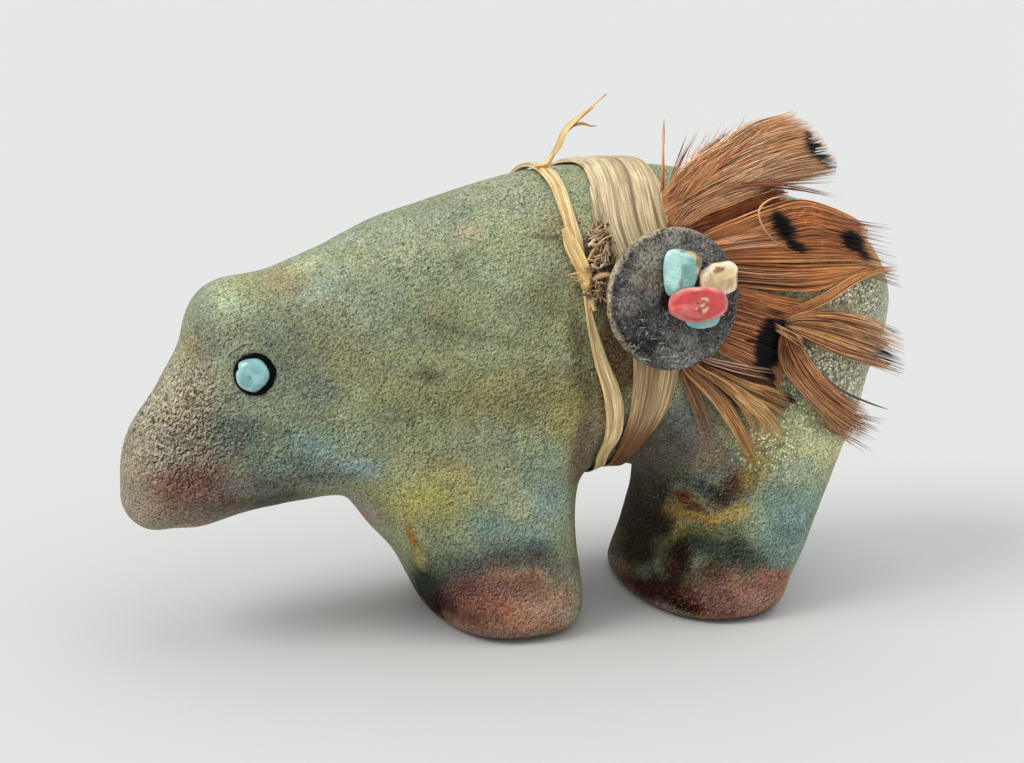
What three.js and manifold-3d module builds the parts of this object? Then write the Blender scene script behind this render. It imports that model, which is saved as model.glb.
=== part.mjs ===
// A raku-fired pottery bear with an offering bundle bound to its flank.
// Units are millimetres, +Z is up, the nose points to -X and the decorated flank faces -Y.
// The origin is on the ground, under the middle of the bear's outer box.

import * as THREE from 'three';
import { mergeVertices } from 'three/addons/utils/BufferGeometryUtils.js';
import Module from 'manifold-3d';

const wasm = await Module();
wasm.setup();

// ------------------------------------------------------------------ driving dimensions

// Shift from the working frame (under the shoulder) to the middle of the outer box.
const BOX_MIDDLE_X = 1.62;
const BOX_MIDDLE_Y = -3.49;

// The clay body in side view: round limbs from [x, z, radius] to [x, z, radius],
// each melted into the ones before it over the blend length.
const LIMBS = [
  { name: 'barrel', from: [7.5, 39.4, 18.4], to: [27.7, 36.3, 18.5], blend: 0.5 },
  { name: 'rump', from: [25.4, 38.1, 18.2], to: [40.6, 39.5, 12.5], blend: 6.3 },
  { name: 'shoulder', from: [-9.1, 36.0, 17.6], to: [15.0, 40.5, 17.6], blend: 6.0 },
  { name: 'neck', from: [-26.3, 33.7, 14.0], to: [-3.1, 37.4, 17.2], blend: 7.0 },
  { name: 'head', from: [-30.9, 32.2, 11.3], to: [-23.3, 33.5, 13.1], blend: 6.0 },
  { name: 'brow', from: [-34.9, 40.6, 6.1], to: [-31.5, 38.1, 6.9], blend: 4.5 },
  { name: 'snout', from: [-46.8, 18.8, 2.2], to: [-37.7, 31.0, 6.5], blend: 6.1 },
  { name: 'jaw', from: [-41.2, 23.7, 7.7], to: [-26.5, 27.1, 6.3], blend: 8.2 },
  { name: 'foreleg', from: [-5.8, 21.9, 14.9], to: [-0.2, 5.4, 8.5], blend: 7.8 },
  { name: 'forefoot', from: [-3.9, 6.6, 7.6], to: [-0.7, 1.8, 9.5], blend: 6.5 },
  { name: 'hindleg', from: [35.3, 28.1, 13.9], to: [28.0, 0.7, 8.4], blend: 8.1 },
  { name: 'hindfoot', from: [26.0, -3.0, 9.2], to: [28.1, 4.2, 6.1], blend: 6.9 },
];
const LIMB_CORE = 3.0;            // how softly a tapering limb turns over its own axis

// Half width of the body and how deep its rounding reaches in from the outline, along x.
const STATION_X = [-52.0, -47.5, -42.0, -32.0, -20.0, -5.0, 12.0, 30.0, 44.0, 54.0];
const HALF_WIDTH = [7.0, 8.8, 9.9, 12.6, 14.7, 16.4, 17.6, 18.0, 17.2, 15.2];
const ROUNDING = [5.5, 6.0, 7.0, 9.0, 11.0, 13.0, 14.5, 14.0, 11.5, 10.0];

// The leg blocks have a half width and rounding of their own below the belly.
const LEG_HALF_WIDTH = { front: 16.7, rear: 18.7 };
const LEG_ROUNDING = { front: 7.0, rear: 7.5 };
const LEG_BLEND_Z = [6.0, 26.0];
const LEG_FADE_X = [-26.0, -15.0];
const FRONT_TO_REAR_X = [6.0, 18.0];
const FOOT_EDGE = 3.5;            // softening of the edge round each flat foot
const BODY_CELL = 2.8;            // size of one facet of the clay body

// Eyes.
const EYE = [-34.8, -10.7, 37.2]; // middle of the near eye on the skin
const EYE_NORMAL = [-0.42, -0.89, 0.17];
const SOCKET_RADIUS = 2.75;
const SOCKET_STANDOFF = 1.0;      // the socket's ball centre stands this far outside the skin
const NUGGET = { radius: 2.1, halfDepth: 1.25, inset: 0.05 };

// Raffia: for each height z, the middle and the half width of the strip along x.
const TORSO_AXIS_Z = 40.0;
const SKIN_GAP = 0.3;
const STRAP = {
  z: [20.0, 23.5, 29.0, 36.0, 44.0, 49.6, 53.0, 56.6, 59.0],
  middle: [13.3, 13.0, 14.4, 15.2, 15.0, 13.9, 13.2, 13.9, 15.1],
  half: [1.1, 1.25, 2.4, 3.2, 3.8, 4.3, 5.0, 4.8, 4.2],
  thickness: 0.5,
  steps: 60,
};
const TIE = {
  z: [20.0, 22.8, 27.0, 31.5, 38.0, 47.0, 51.0, 55.0, 59.0],
  middle: [11.0, 9.9, 10.2, 9.5, 7.4, 5.8, 5.3, 5.2, 5.8],
  half: [0.8, 0.85, 0.9, 0.95, 0.95, 0.95, 0.95, 0.95, 1.0],
  thickness: 0.45,
  steps: 60,
};
const KNOT = { x: 5.7, z: 47.4, radii: [1.25, 0.95, 2.3], standoff: 1.2 };
const TAIL = { base: [5.9, -1.2, 58.9], path: [[7.4, -1.9, 61.8], [8.3, -2.1, 63.8], [10.6, -2.5, 65.9], [13.4, -3.0, 68.3]], width: 0.9, thickness: 0.4 };
const TAIL_FORK = { base: [8.1, -2.1, 63.4], path: [[10.2, -1.7, 64.3], [12.9, -1.0, 63.8]], width: 0.6, thickness: 0.35 };
const FRAYS = [
  { base: [5.4, -17.0, 48.6], path: [[4.4, -17.6, 49.7], [4.0, -17.9, 50.4]], width: 0.6, thickness: 0.3 },
  { base: [5.3, -17.0, 47.6], path: [[4.0, -17.5, 48.1], [3.3, -17.6, 48.2]], width: 0.6, thickness: 0.3 },
];

// Stone disc.
const DISC = { centre: [15.8, -20.6, 45.2], normal: [0.05, -0.988, 0.14], radius: 8.85, hole: 1.85, thickness: 1.4, edge: 0.35, segments: 36 };

// Chips on the disc: across and up the disc face from its centre, standing off its middle plane.
const CHIPS = [
  { name: 'turquoise_chip', at: [0.25, 3.25], off: 1.98, radii: [2.15, 2.95, 0.95], turn: -6, taper: 0.22, color: 0x6fb7b2, roughness: 0.25 },
  { name: 'turquoise_chip_lower', at: [3.2, -2.3], off: 1.62, radii: [2.3, 1.5, 0.55], turn: 0, taper: 0.0, color: 0x6fb7b2, roughness: 0.25 },
  { name: 'citrine_chip', at: [5.5, 2.15], off: 1.98, radii: [2.6, 2.0, 0.86], turn: 8, taper: 0.0, color: 0xd8c08c, roughness: 0.12 },
  { name: 'coral_chip', at: [1.85, -0.62], off: 3.32, radii: [4.0, 2.1, 0.98], turn: -2, taper: 0.0, color: 0xc8473d, roughness: 0.2 },
];

// Feathers, drawn in side view: root [x, z], heading in degrees, length, sideways bow,
// full width, clearance over the skin, and the least distance from the middle plane at root and tip.
const FEATHERS = [
  { name: 'feather_crest', root: [19.8, 52.0], heading: 25.0, length: 22.5, bow: 3.3, width: 9.0, lift: 0.4, plane: [15.0, 11.0] },
  { name: 'feather_upper', root: [21.0, 47.6], heading: 2.0, length: 28.5, bow: 3.4, width: 7.5, lift: 1.35, plane: [16.0, 12.0] },
  { name: 'feather_middle', root: [21.0, 45.4], heading: -2.2, length: 30.2, bow: 2.2, width: 5.2, lift: 0.4, plane: [16.0, 12.0] },
  { name: 'feather_patch', root: [21.0, 43.0], heading: -20.6, length: 33.8, bow: 0.8, width: 7.0, lift: 1.35, plane: [16.0, 11.0] },
  { name: 'feather_lower', root: [20.6, 41.0], heading: -35.8, length: 34.6, bow: 1.4, width: 6.4, lift: 0.4, plane: [16.0, 12.0] },
  { name: 'feather_drop', root: [19.9, 39.0], heading: -57.5, length: 19.0, bow: 0.4, width: 6.4, lift: 1.35, plane: [16.0, 15.0] },
];
const FEATHER = { steps: 11, halfThickness: 0.3, rootWidth: 0.13, fullAt: 0.55 };

// Down between the tie and the disc.
const TUFT = { x: 8.05, z: 46.6, radii: [0.95, 4.4, 0.7], standoff: 1.25 };

// ------------------------------------------------------------------ colours

const looks = {
  clay: new THREE.MeshStandardMaterial({ color: 0x7d8a68, roughness: 0.72, metalness: 0.15 }),
  turquoise: new THREE.MeshStandardMaterial({ color: 0x7cc3c2, roughness: 0.25, metalness: 0.0 }),
  raffia: new THREE.MeshStandardMaterial({ color: 0xb99a6b, roughness: 0.8, metalness: 0.0 }),
  straw: new THREE.MeshStandardMaterial({ color: 0xd9bd80, roughness: 0.75, metalness: 0.0 }),
  slate: new THREE.MeshStandardMaterial({ color: 0x4c4c4e, roughness: 0.88, metalness: 0.0 }),
  feather: new THREE.MeshStandardMaterial({ color: 0xa4603a, roughness: 0.65, metalness: 0.0 }),
  down: new THREE.MeshStandardMaterial({ color: 0x5e4226, roughness: 0.9, metalness: 0.0 }),
};

// ------------------------------------------------------------------ small helpers

const smoothMin = (a, b, k) => {
  const h = Math.max(k - Math.abs(a - b), 0) / k;
  return Math.min(a, b) - (h * h * h * k) / 6;
};
const smoothStep = (lo, hi, x) => {
  const t = Math.min(Math.max((x - lo) / (hi - lo), 0), 1);
  return t * t * (3 - 2 * t);
};

// Smooth curve through named stations, with slopes taken from the neighbours.
function through(xs, values) {
  const n = xs.length;
  const slope = xs.map((x, i) => {
    if (i === 0) return (values[1] - values[0]) / (xs[1] - xs[0]);
    if (i === n - 1) return (values[n - 1] - values[n - 2]) / (xs[n - 1] - xs[n - 2]);
    const a = x - xs[i - 1];
    const b = xs[i + 1] - x;
    return (a * a * values[i + 1] + (b * b - a * a) * values[i] - b * b * values[i - 1]) / (a * b * (a + b));
  });
  return (x) => {
    const c = Math.min(Math.max(x, xs[0]), xs[n - 1]);
    let i = 0;
    while (i < n - 2 && c >= xs[i + 1]) i++;
    const h = xs[i + 1] - xs[i];
    const t = (c - xs[i]) / h;
    const t2 = t * t;
    const t3 = t2 * t;
    return (2 * t3 - 3 * t2 + 1) * values[i] + (t3 - 2 * t2 + t) * h * slope[i]
      + (-2 * t3 + 3 * t2) * values[i + 1] + (t3 - t2) * h * slope[i + 1];
  };
}

// ------------------------------------------------------------------ the clay body as a field

const halfWidthAt = through(STATION_X, HALF_WIDTH);
const roundingAt = through(STATION_X, ROUNDING);

// Signed depth of (x, z) in one limb: negative inside, zero on its outline.
function limbDepth(x, z, { from, to }) {
  const length = Math.hypot(to[0] - from[0], to[1] - from[1]);
  const ux = (to[0] - from[0]) / length;
  const uz = (to[1] - from[1]) / length;
  const along = (x - from[0]) * ux + (z - from[1]) * uz;
  const across = Math.abs((z - from[1]) * ux - (x - from[0]) * uz);
  const sine = (from[2] - to[2]) / length;
  const cosine = Math.sqrt(1 - sine * sine);
  const eased = Math.sqrt(across * across + LIMB_CORE * LIMB_CORE) - LIMB_CORE;
  const t = Math.min(Math.max((along - (eased * sine) / cosine) / length, 0), 1);
  const r = from[2] + t * (to[2] - from[2]);
  const q = (along - t * length) ** 2 + across * across;
  return q < r * r ? (q - r * r) / (2 * r) : Math.sqrt(q) - r;
}

function outline(x, z) {
  return LIMBS.reduce((d, limb, i) => (i ? smoothMin(d, limbDepth(x, z, limb), limb.blend) : limbDepth(x, z, limb)), 0);
}

// Half width and rounding at (x, z), with the leg blocks' own values low down.
function section(x, z) {
  const leg = (1 - smoothStep(...LEG_BLEND_Z, z)) * smoothStep(...LEG_FADE_X, x);
  const rear = smoothStep(...FRONT_TO_REAR_X, x);
  const legHalf = LEG_HALF_WIDTH.front + (LEG_HALF_WIDTH.rear - LEG_HALF_WIDTH.front) * rear;
  const legRound = LEG_ROUNDING.front + (LEG_ROUNDING.rear - LEG_ROUNDING.front) * rear;
  const half = halfWidthAt(x);
  const round = roundingAt(x);
  return [half + (legHalf - half) * leg, round + (legRound - round) * leg];
}

function clay(x, y, z) {
  const [half, round] = section(x, z);
  const q = Math.max(1 + outline(x, z) / round, 0);
  const skin = round * (Math.hypot(y / half, q) - 1);
  return -smoothMin(-skin, z, FOOT_EDGE);
}

// Distance of the skin from the middle plane at (x, z); zero outside the outline.
function skinHalf(x, z) {
  const [half, round] = section(x, z);
  const q = Math.max(1 + outline(x, z) / round, 0);
  return q < 1 ? half * Math.sqrt(1 - q * q) : 0;
}

function gradient(x, y, z) {
  const e = 0.05;
  return new THREE.Vector3(
    clay(x + e, y, z) - clay(x - e, y, z),
    clay(x, y + e, z) - clay(x, y - e, z),
    clay(x, y, z + e) - clay(x, y, z - e),
  ).divideScalar(2 * e);
}

// ------------------------------------------------------------------ meshing

function geometryFrom(vertices, triangles) {
  const geometry = new THREE.BufferGeometry();
  geometry.setAttribute('position', new THREE.Float32BufferAttribute(vertices.flat(), 3));
  geometry.setIndex(triangles.flat());
  geometry.computeVertexNormals();
  return geometry;
}

// Surface net over a regular grid: one vertex in each cell that the skin crosses.
function skinMesh(field, low, high, cell) {
  const count = low.map((l, i) => Math.ceil((high[i] - l) / cell) + 1);
  const at = (i, j, k) => (i * count[1] + j) * count[2] + k;
  const value = new Float64Array(count[0] * count[1] * count[2]);
  for (let i = 0; i < count[0]; i++) {
    for (let j = 0; j < count[1]; j++) {
      for (let k = 0; k < count[2]; k++) {
        value[at(i, j, k)] = field(low[0] + i * cell, low[1] + j * cell, low[2] + k * cell);
      }
    }
  }
  const vertices = [];
  const vertexOf = new Map();
  for (let i = 0; i < count[0] - 1; i++) {
    for (let j = 0; j < count[1] - 1; j++) {
      for (let k = 0; k < count[2] - 1; k++) {
        const sum = [0, 0, 0];
        let crossings = 0;
        for (let axis = 0; axis < 3; axis++) {
          for (let side = 0; side < 4; side++) {
            const a = [i, j, k];
            a[(axis + 1) % 3] += side & 1;
            a[(axis + 2) % 3] += side >> 1;
            const b = [...a];
            b[axis] += 1;
            const va = value[at(...a)];
            const vb = value[at(...b)];
            if ((va < 0) === (vb < 0)) continue;
            const t = va / (va - vb);
            for (let m = 0; m < 3; m++) sum[m] += a[m] + (m === axis ? t : 0);
            crossings++;
          }
        }
        if (!crossings) continue;
        vertexOf.set(at(i, j, k), vertices.length);
        vertices.push(sum.map((s, m) => low[m] + (s / crossings) * cell));
      }
    }
  }
  // Settle each vertex onto the skin, then flatten the soles.
  for (const v of vertices) {
    for (let pass = 0; pass < 3; pass++) {
      const g = gradient(...v);
      const step = Math.min(Math.max(field(...v) / Math.max(g.lengthSq(), 0.05), -1), 1);
      v[0] -= g.x * step;
      v[1] -= g.y * step;
      v[2] -= g.z * step;
    }
    if (v[2] < 0.12) v[2] = 0;
  }
  const triangles = [];
  for (let i = 1; i < count[0] - 1; i++) {
    for (let j = 1; j < count[1] - 1; j++) {
      for (let k = 1; k < count[2] - 1; k++) {
        const here = [i, j, k];
        for (let axis = 0; axis < 3; axis++) {
          const next = [...here];
          next[axis] += 1;
          const inside = value[at(...here)] < 0;
          if (inside === value[at(...next)] < 0) continue;
          const b = (axis + 1) % 3;
          const c = (axis + 2) % 3;
          const ring = [[1, 1], [0, 1], [0, 0], [1, 0]].map(([db, dc]) => {
            const n = [...here];
            n[b] -= db;
            n[c] -= dc;
            return vertexOf.get(at(...n));
          });
          if (!inside) ring.reverse();
          const gap = (p, q) => Math.hypot(...vertices[p].map((s, m) => s - vertices[q][m]));
          if (gap(ring[0], ring[2]) <= gap(ring[1], ring[3])) {
            triangles.push([ring[0], ring[1], ring[2]], [ring[0], ring[2], ring[3]]);
          } else {
            triangles.push([ring[0], ring[1], ring[3]], [ring[1], ring[2], ring[3]]);
          }
        }
      }
    }
  }
  return geometryFrom(vertices, triangles);
}

// Sweep of rings of points: each ring has the same number of points; the last ring joins
// the first when the sweep is a loop, and is capped with a fan when it isn't.
function sweep(rings, isLoop) {
  const n = rings[0].length;
  const vertices = rings.flat();
  const triangles = [];
  const last = isLoop ? rings.length : rings.length - 1;
  for (let r = 0; r < last; r++) {
    const s = (r + 1) % rings.length;
    for (let i = 0; i < n; i++) {
      const j = (i + 1) % n;
      triangles.push([r * n + i, r * n + j, s * n + j], [r * n + i, s * n + j, s * n + i]);
    }
  }
  if (!isLoop) {
    for (let i = 1; i < n - 1; i++) {
      triangles.push([0, i + 1, i]);
      const e = (rings.length - 1) * n;
      triangles.push([e, e + i, e + i + 1]);
    }
  }
  return outward(geometryFrom(vertices, triangles));
}

// Turn a closed surface inside out if its faces point in.
function outward(geometry) {
  const p = geometry.attributes.position;
  const index = geometry.index.array;
  const a = new THREE.Vector3();
  const b = new THREE.Vector3();
  const c = new THREE.Vector3();
  let volume = 0;
  for (let i = 0; i < index.length; i += 3) {
    a.fromBufferAttribute(p, index[i]);
    b.fromBufferAttribute(p, index[i + 1]);
    c.fromBufferAttribute(p, index[i + 2]);
    volume += a.dot(b.cross(c));
  }
  if (volume < 0) {
    for (let i = 0; i < index.length; i += 3) [index[i + 1], index[i + 2]] = [index[i + 2], index[i + 1]];
    geometry.computeVertexNormals();
  }
  return geometry;
}

function toSolid(geometry) {
  const bare = geometry.clone();
  bare.deleteAttribute('normal');
  bare.deleteAttribute('uv');
  const merged = mergeVertices(bare, 1e-5);
  return new wasm.Manifold(new wasm.Mesh({
    numProp: 3,
    vertProperties: new Float32Array(merged.attributes.position.array),
    triVerts: new Uint32Array(merged.index.array),
  }));
}

function fromSolid(solid) {
  const mesh = solid.getMesh();
  const geometry = new THREE.BufferGeometry();
  geometry.setAttribute('position', new THREE.BufferAttribute(new Float32Array(mesh.vertProperties), 3));
  geometry.setIndex(new THREE.BufferAttribute(new Uint32Array(mesh.triVerts), 1));
  geometry.computeVertexNormals();
  return geometry;
}

// A pebble: a ball squashed to its radii, narrowed toward its lower end by the taper.
function pebble([rx, ry, rz], taper = 0, detail = 3) {
  const ball = new THREE.IcosahedronGeometry(1, detail);
  ball.deleteAttribute('normal');
  ball.deleteAttribute('uv');
  const geometry = mergeVertices(ball, 1e-4);
  const p = geometry.attributes.position;
  for (let i = 0; i < p.count; i++) {
    const narrow = 1 + taper * p.getY(i);
    p.setXYZ(i, p.getX(i) * rx * narrow, p.getY(i) * ry, p.getZ(i) * rz);
  }
  geometry.computeVertexNormals();
  return geometry;
}

// A thin blade along a curve, flat side toward -Y, narrowing to its tip.
function blade({ base, path, width, thickness }) {
  const curve = new THREE.CatmullRomCurve3([base, ...path].map((p) => new THREE.Vector3(...p)));
  const steps = 4 * path.length;
  const rings = [];
  for (let i = 0; i <= steps; i++) {
    const t = i / steps;
    const p = curve.getPoint(t);
    const along = curve.getTangent(t);
    const out = new THREE.Vector3(0, -1, 0).addScaledVector(along, along.y).normalize();
    const side = new THREE.Vector3().crossVectors(along, out).multiplyScalar(0.5 * width * (1 - 0.7 * t * t));
    out.multiplyScalar(0.5 * thickness);
    rings.push([[1, 1], [1, -1], [-1, -1], [-1, 1]].map(([s, o]) =>
      p.clone().addScaledVector(side, s).addScaledVector(out, o).toArray()));
  }
  return sweep(rings, false);
}

// ------------------------------------------------------------------ bands round the torso

// Point of the skin at x, on the ray from the torso's axis at this angle, with its normal.
function torsoSkin(x, angle) {
  const ry = Math.sin(angle);
  const rz = Math.cos(angle);
  let near = 6;
  let far = 34;
  for (let i = 0; i < 40; i++) {
    const r = (near + far) / 2;
    if (clay(x, r * ry, TORSO_AXIS_Z + r * rz) < 0) near = r;
    else far = r;
  }
  const point = new THREE.Vector3(x, near * ry, TORSO_AXIS_Z + near * rz);
  return { point, normal: gradient(...point.toArray()).normalize() };
}

function band({ z, middle, half, thickness, steps }) {
  const middleAt = through(z, middle);
  const halfAt = through(z, half);
  const rings = [];
  for (let i = 0; i < steps; i++) {
    const angle = (2 * Math.PI * i) / steps;
    let height = TORSO_AXIS_Z + 18 * Math.cos(angle);
    for (let pass = 0; pass < 4; pass++) height = torsoSkin(middleAt(height), angle).point.z;
    const across = [-1, 0, 1].map((s) => torsoSkin(middleAt(height) + s * halfAt(height), angle));
    const inner = across.map(({ point, normal }) => point.clone().addScaledVector(normal, SKIN_GAP).toArray());
    const outer = across.map(({ point, normal }) => point.clone().addScaledVector(normal, SKIN_GAP + thickness).toArray());
    rings.push([...inner, ...outer.reverse()]);
  }
  return sweep(rings, true);
}

// ------------------------------------------------------------------ feathers

// Plan of a feather: distance from its shaft to its edge, as a share of the half width.
const vane = (t) => {
  const rise = FEATHER.rootWidth + (1 - FEATHER.rootWidth) * Math.sin((Math.min(t / FEATHER.fullAt, 1) * Math.PI) / 2);
  const fall = t < FEATHER.fullAt ? 1 : Math.sqrt(Math.max(1 - ((t - FEATHER.fullAt) / (1.02 - FEATHER.fullAt)) ** 2, 0));
  return rise * fall;
};

function feather({ root, heading, length, bow, width, lift, plane }) {
  const turn = THREE.MathUtils.degToRad(heading);
  const dir = [Math.cos(turn), Math.sin(turn)];
  const up = [-dir[1], dir[0]];
  const rings = [];
  for (let i = 0; i <= FEATHER.steps; i++) {
    const t = i / FEATHER.steps;
    const bend = 4 * bow * t * (1 - t);
    const spot = (side, outBy) => {
      const offset = bend + side * 0.5 * width * vane(t);
      const x = root[0] + dir[0] * length * t + up[0] * offset;
      const z = root[1] + dir[1] * length * t + up[1] * offset;
      const line = plane[0] + (plane[1] - plane[0]) * t;
      const y = Math.max(skinHalf(x, z), line) + lift + FEATHER.halfThickness;
      return [x, -(y + outBy), z];
    };
    rings.push([spot(-1, 0), spot(0, FEATHER.halfThickness), spot(1, 0), spot(0, -FEATHER.halfThickness)]);
  }
  return sweep(rings, false);
}

// ------------------------------------------------------------------ assembly

const bear = new THREE.Group();
bear.position.set(-BOX_MIDDLE_X, -BOX_MIDDLE_Y, 0);

function add(name, geometry, material, place) {
  const mesh = new THREE.Mesh(geometry, material);
  mesh.name = name;
  if (place) {
    mesh.position.copy(place.position);
    if (place.quaternion) mesh.quaternion.copy(place.quaternion);
  }
  bear.add(mesh);
  return mesh;
}

const outOf = (normal) => new THREE.Quaternion().setFromUnitVectors(new THREE.Vector3(0, 0, 1), normal);

// Clay body with its two eye sockets.
const eyes = [
  { name: 'eye_left', centre: new THREE.Vector3(...EYE), normal: new THREE.Vector3(...EYE_NORMAL).normalize() },
  { name: 'eye_right', centre: new THREE.Vector3(EYE[0], -EYE[1], EYE[2]), normal: new THREE.Vector3(EYE_NORMAL[0], -EYE_NORMAL[1], EYE_NORMAL[2]).normalize() },
];
let body = toSolid(skinMesh(clay, [-56.3, -24.1, -4.3], [60, 24.1, 65], BODY_CELL));
for (const { centre, normal } of eyes) {
  const ball = new THREE.SphereGeometry(SOCKET_RADIUS, 24, 14);
  ball.translate(...centre.clone().addScaledVector(normal, SOCKET_STANDOFF).toArray());
  body = body.subtract(toSolid(ball));
}
add('bear_body', fromSolid(body), looks.clay);

for (const { name, centre, normal } of eyes) {
  add(name, pebble([NUGGET.radius, NUGGET.radius, NUGGET.halfDepth], 0, 2), looks.turquoise, {
    position: centre.clone().addScaledVector(normal, -NUGGET.inset),
    quaternion: outOf(normal),
  });
}

// Raffia band, and the tie with its knot, frayed ends and standing tail.
add('wide_raffia_strap', band(STRAP), looks.raffia);

let tie = toSolid(band(TIE));
const knotSkin = torsoSkin(KNOT.x, -Math.atan2(skinHalf(KNOT.x, KNOT.z), KNOT.z - TORSO_AXIS_Z));
const knot = pebble([KNOT.radii[0], KNOT.radii[2], KNOT.radii[1]], 0, 2);
knot.applyQuaternion(new THREE.Quaternion().setFromRotationMatrix(new THREE.Matrix4().makeBasis(
  new THREE.Vector3(1, 0, 0),
  new THREE.Vector3(0, 0, 1),
  new THREE.Vector3(0, -1, 0),
)));
knot.translate(...knotSkin.point.clone().addScaledVector(knotSkin.normal, KNOT.standoff).toArray());
tie = tie.add(toSolid(knot));
for (const strand of [TAIL, TAIL_FORK, ...FRAYS]) tie = tie.add(toSolid(blade(strand)));
add('raffia_tie', fromSolid(tie), looks.straw);

// Disc: a flat ring with softened edges.
const { radius, hole, thickness, edge, segments } = DISC;
const t2 = thickness / 2;
const profile = [
  [hole, -t2 + edge], [hole + edge, -t2], [radius - edge, -t2], [radius, -t2 + edge],
  [radius, t2 - edge], [radius - edge, t2], [hole + edge, t2], [hole, t2 - edge], [hole, -t2 + edge],
].map(([r, h]) => new THREE.Vector2(r, h));
const ring = new THREE.LatheGeometry(profile, segments);
ring.rotateX(Math.PI / 2);
const discNormal = new THREE.Vector3(...DISC.normal).normalize();
const discCentre = new THREE.Vector3(...DISC.centre);
add('stone_disc', ring, looks.slate, { position: discCentre, quaternion: outOf(discNormal) });

// Chips in the disc's own axes: across, up its face, and out of it.
const discUp = new THREE.Vector3(0, 0, 1).addScaledVector(discNormal, -discNormal.z).normalize();
const discAcross = new THREE.Vector3().crossVectors(discUp, discNormal);
for (const chip of CHIPS) {
  const turn = THREE.MathUtils.degToRad(chip.turn);
  const across = discAcross.clone().multiplyScalar(Math.cos(turn)).addScaledVector(discUp, Math.sin(turn));
  const up = new THREE.Vector3().crossVectors(discNormal, across);
  add(chip.name, pebble(chip.radii, chip.taper, 2), new THREE.MeshStandardMaterial({ color: chip.color, roughness: chip.roughness, metalness: 0 }), {
    position: discCentre.clone().addScaledVector(discAcross, chip.at[0]).addScaledVector(discUp, chip.at[1]).addScaledVector(discNormal, chip.off),
    quaternion: new THREE.Quaternion().setFromRotationMatrix(new THREE.Matrix4().makeBasis(across, up, discNormal)),
  });
}

for (const shape of FEATHERS) add(shape.name, feather(shape), looks.feather);

const tuftSkin = new THREE.Vector3(TUFT.x, -skinHalf(TUFT.x, TUFT.z), TUFT.z);
const tuftNormal = gradient(...tuftSkin.toArray()).normalize();
const tuftAcross = new THREE.Vector3(1, 0, 0).addScaledVector(tuftNormal, -tuftNormal.x).normalize();
add('down_tuft', pebble(TUFT.radii, 0, 2), looks.down, {
  position: tuftSkin.clone().addScaledVector(tuftNormal, TUFT.standoff),
  quaternion: new THREE.Quaternion().setFromRotationMatrix(new THREE.Matrix4().makeBasis(
    tuftAcross, new THREE.Vector3().crossVectors(tuftNormal, tuftAcross), tuftNormal,
  )),
});

export default bear;
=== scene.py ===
import math

import bmesh
import bpy
import numpy as np
from mathutils import Matrix, Vector


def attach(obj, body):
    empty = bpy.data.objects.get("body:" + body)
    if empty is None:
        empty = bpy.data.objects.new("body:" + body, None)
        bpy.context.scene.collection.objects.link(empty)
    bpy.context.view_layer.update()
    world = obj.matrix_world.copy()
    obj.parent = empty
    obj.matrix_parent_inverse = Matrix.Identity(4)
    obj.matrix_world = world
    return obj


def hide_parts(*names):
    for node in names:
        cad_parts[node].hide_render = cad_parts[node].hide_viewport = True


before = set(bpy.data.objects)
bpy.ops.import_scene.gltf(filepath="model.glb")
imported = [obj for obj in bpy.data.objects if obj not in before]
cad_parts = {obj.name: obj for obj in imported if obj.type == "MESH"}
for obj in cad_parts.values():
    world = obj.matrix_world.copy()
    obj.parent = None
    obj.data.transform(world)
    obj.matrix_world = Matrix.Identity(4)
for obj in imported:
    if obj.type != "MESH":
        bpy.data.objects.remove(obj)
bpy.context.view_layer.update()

rng = np.random.default_rng(7)

# ---------------------------------------------------------------- working frame
# Shapes are worked out in millimetres in the bear's own working frame and written
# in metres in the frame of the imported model, which is shifted by these amounts.
SHIFT = np.array([1.62, -3.49, 0.0])


def to_m(points):
    return (np.asarray(points, float) - SHIFT) / 1000.0


# ---------------------------------------------------------------- camera
YAW, TILT, DISTANCE, FOCAL = 18.0, 15.0, 320.0, 2432.0
AIM = np.array([2.3, 2.0, 30.0])
IMAGE = (1024.0, 763.0)
_a, _e = math.radians(-YAW), math.radians(TILT)
BACK = np.array([math.sin(_a) * math.cos(_e), -math.cos(_a) * math.cos(_e), math.sin(_e)])
RIGHT = np.array([math.cos(_a), math.sin(_a), 0.0])
UP = np.cross(BACK, RIGHT)
EYE_POINT = AIM + DISTANCE * BACK


def to_view(points):
    """Photograph coordinates of points of the working frame."""
    rel = points - EYE_POINT
    depth = -(rel @ BACK)
    return np.stack([IMAGE[0] / 2 + FOCAL * (rel @ RIGHT) / depth, IMAGE[1] / 2 - FOCAL * (rel @ UP) / depth], -1)


def view_rays(uv):
    uv = np.asarray(uv, float)
    return -BACK + ((uv[..., 0:1] - IMAGE[0] / 2) / FOCAL) * RIGHT - ((uv[..., 1:2] - IMAGE[1] / 2) / FOCAL) * UP


# ---------------------------------------------------------------- small maths
def smin(a, b, k):
    h = np.maximum(k - np.abs(a - b), 0) / k
    return np.minimum(a, b) - h * h * h * k / 6.0


def ease(lo, hi, x):
    t = np.clip((x - lo) / (hi - lo), 0, 1)
    return t * t * (3 - 2 * t)


def through(xs, values):
    xs, values = np.array(xs, float), np.array(values, float)
    slope = np.gradient(values, xs)

    def at(x):
        x = np.clip(x, xs[0], xs[-1])
        i = np.clip(np.searchsorted(xs, x, side="right") - 1, 0, len(xs) - 2)
        h = xs[i + 1] - xs[i]
        t = (x - xs[i]) / h
        return ((2 * t**3 - 3 * t**2 + 1) * values[i] + (t**3 - 2 * t**2 + t) * h * slope[i]
                + (-2 * t**3 + 3 * t**2) * values[i + 1] + (t**3 - t**2) * h * slope[i + 1])
    return at


def unit(v):
    return v / np.maximum(np.linalg.norm(v, axis=-1, keepdims=True), 1e-12)


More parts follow.
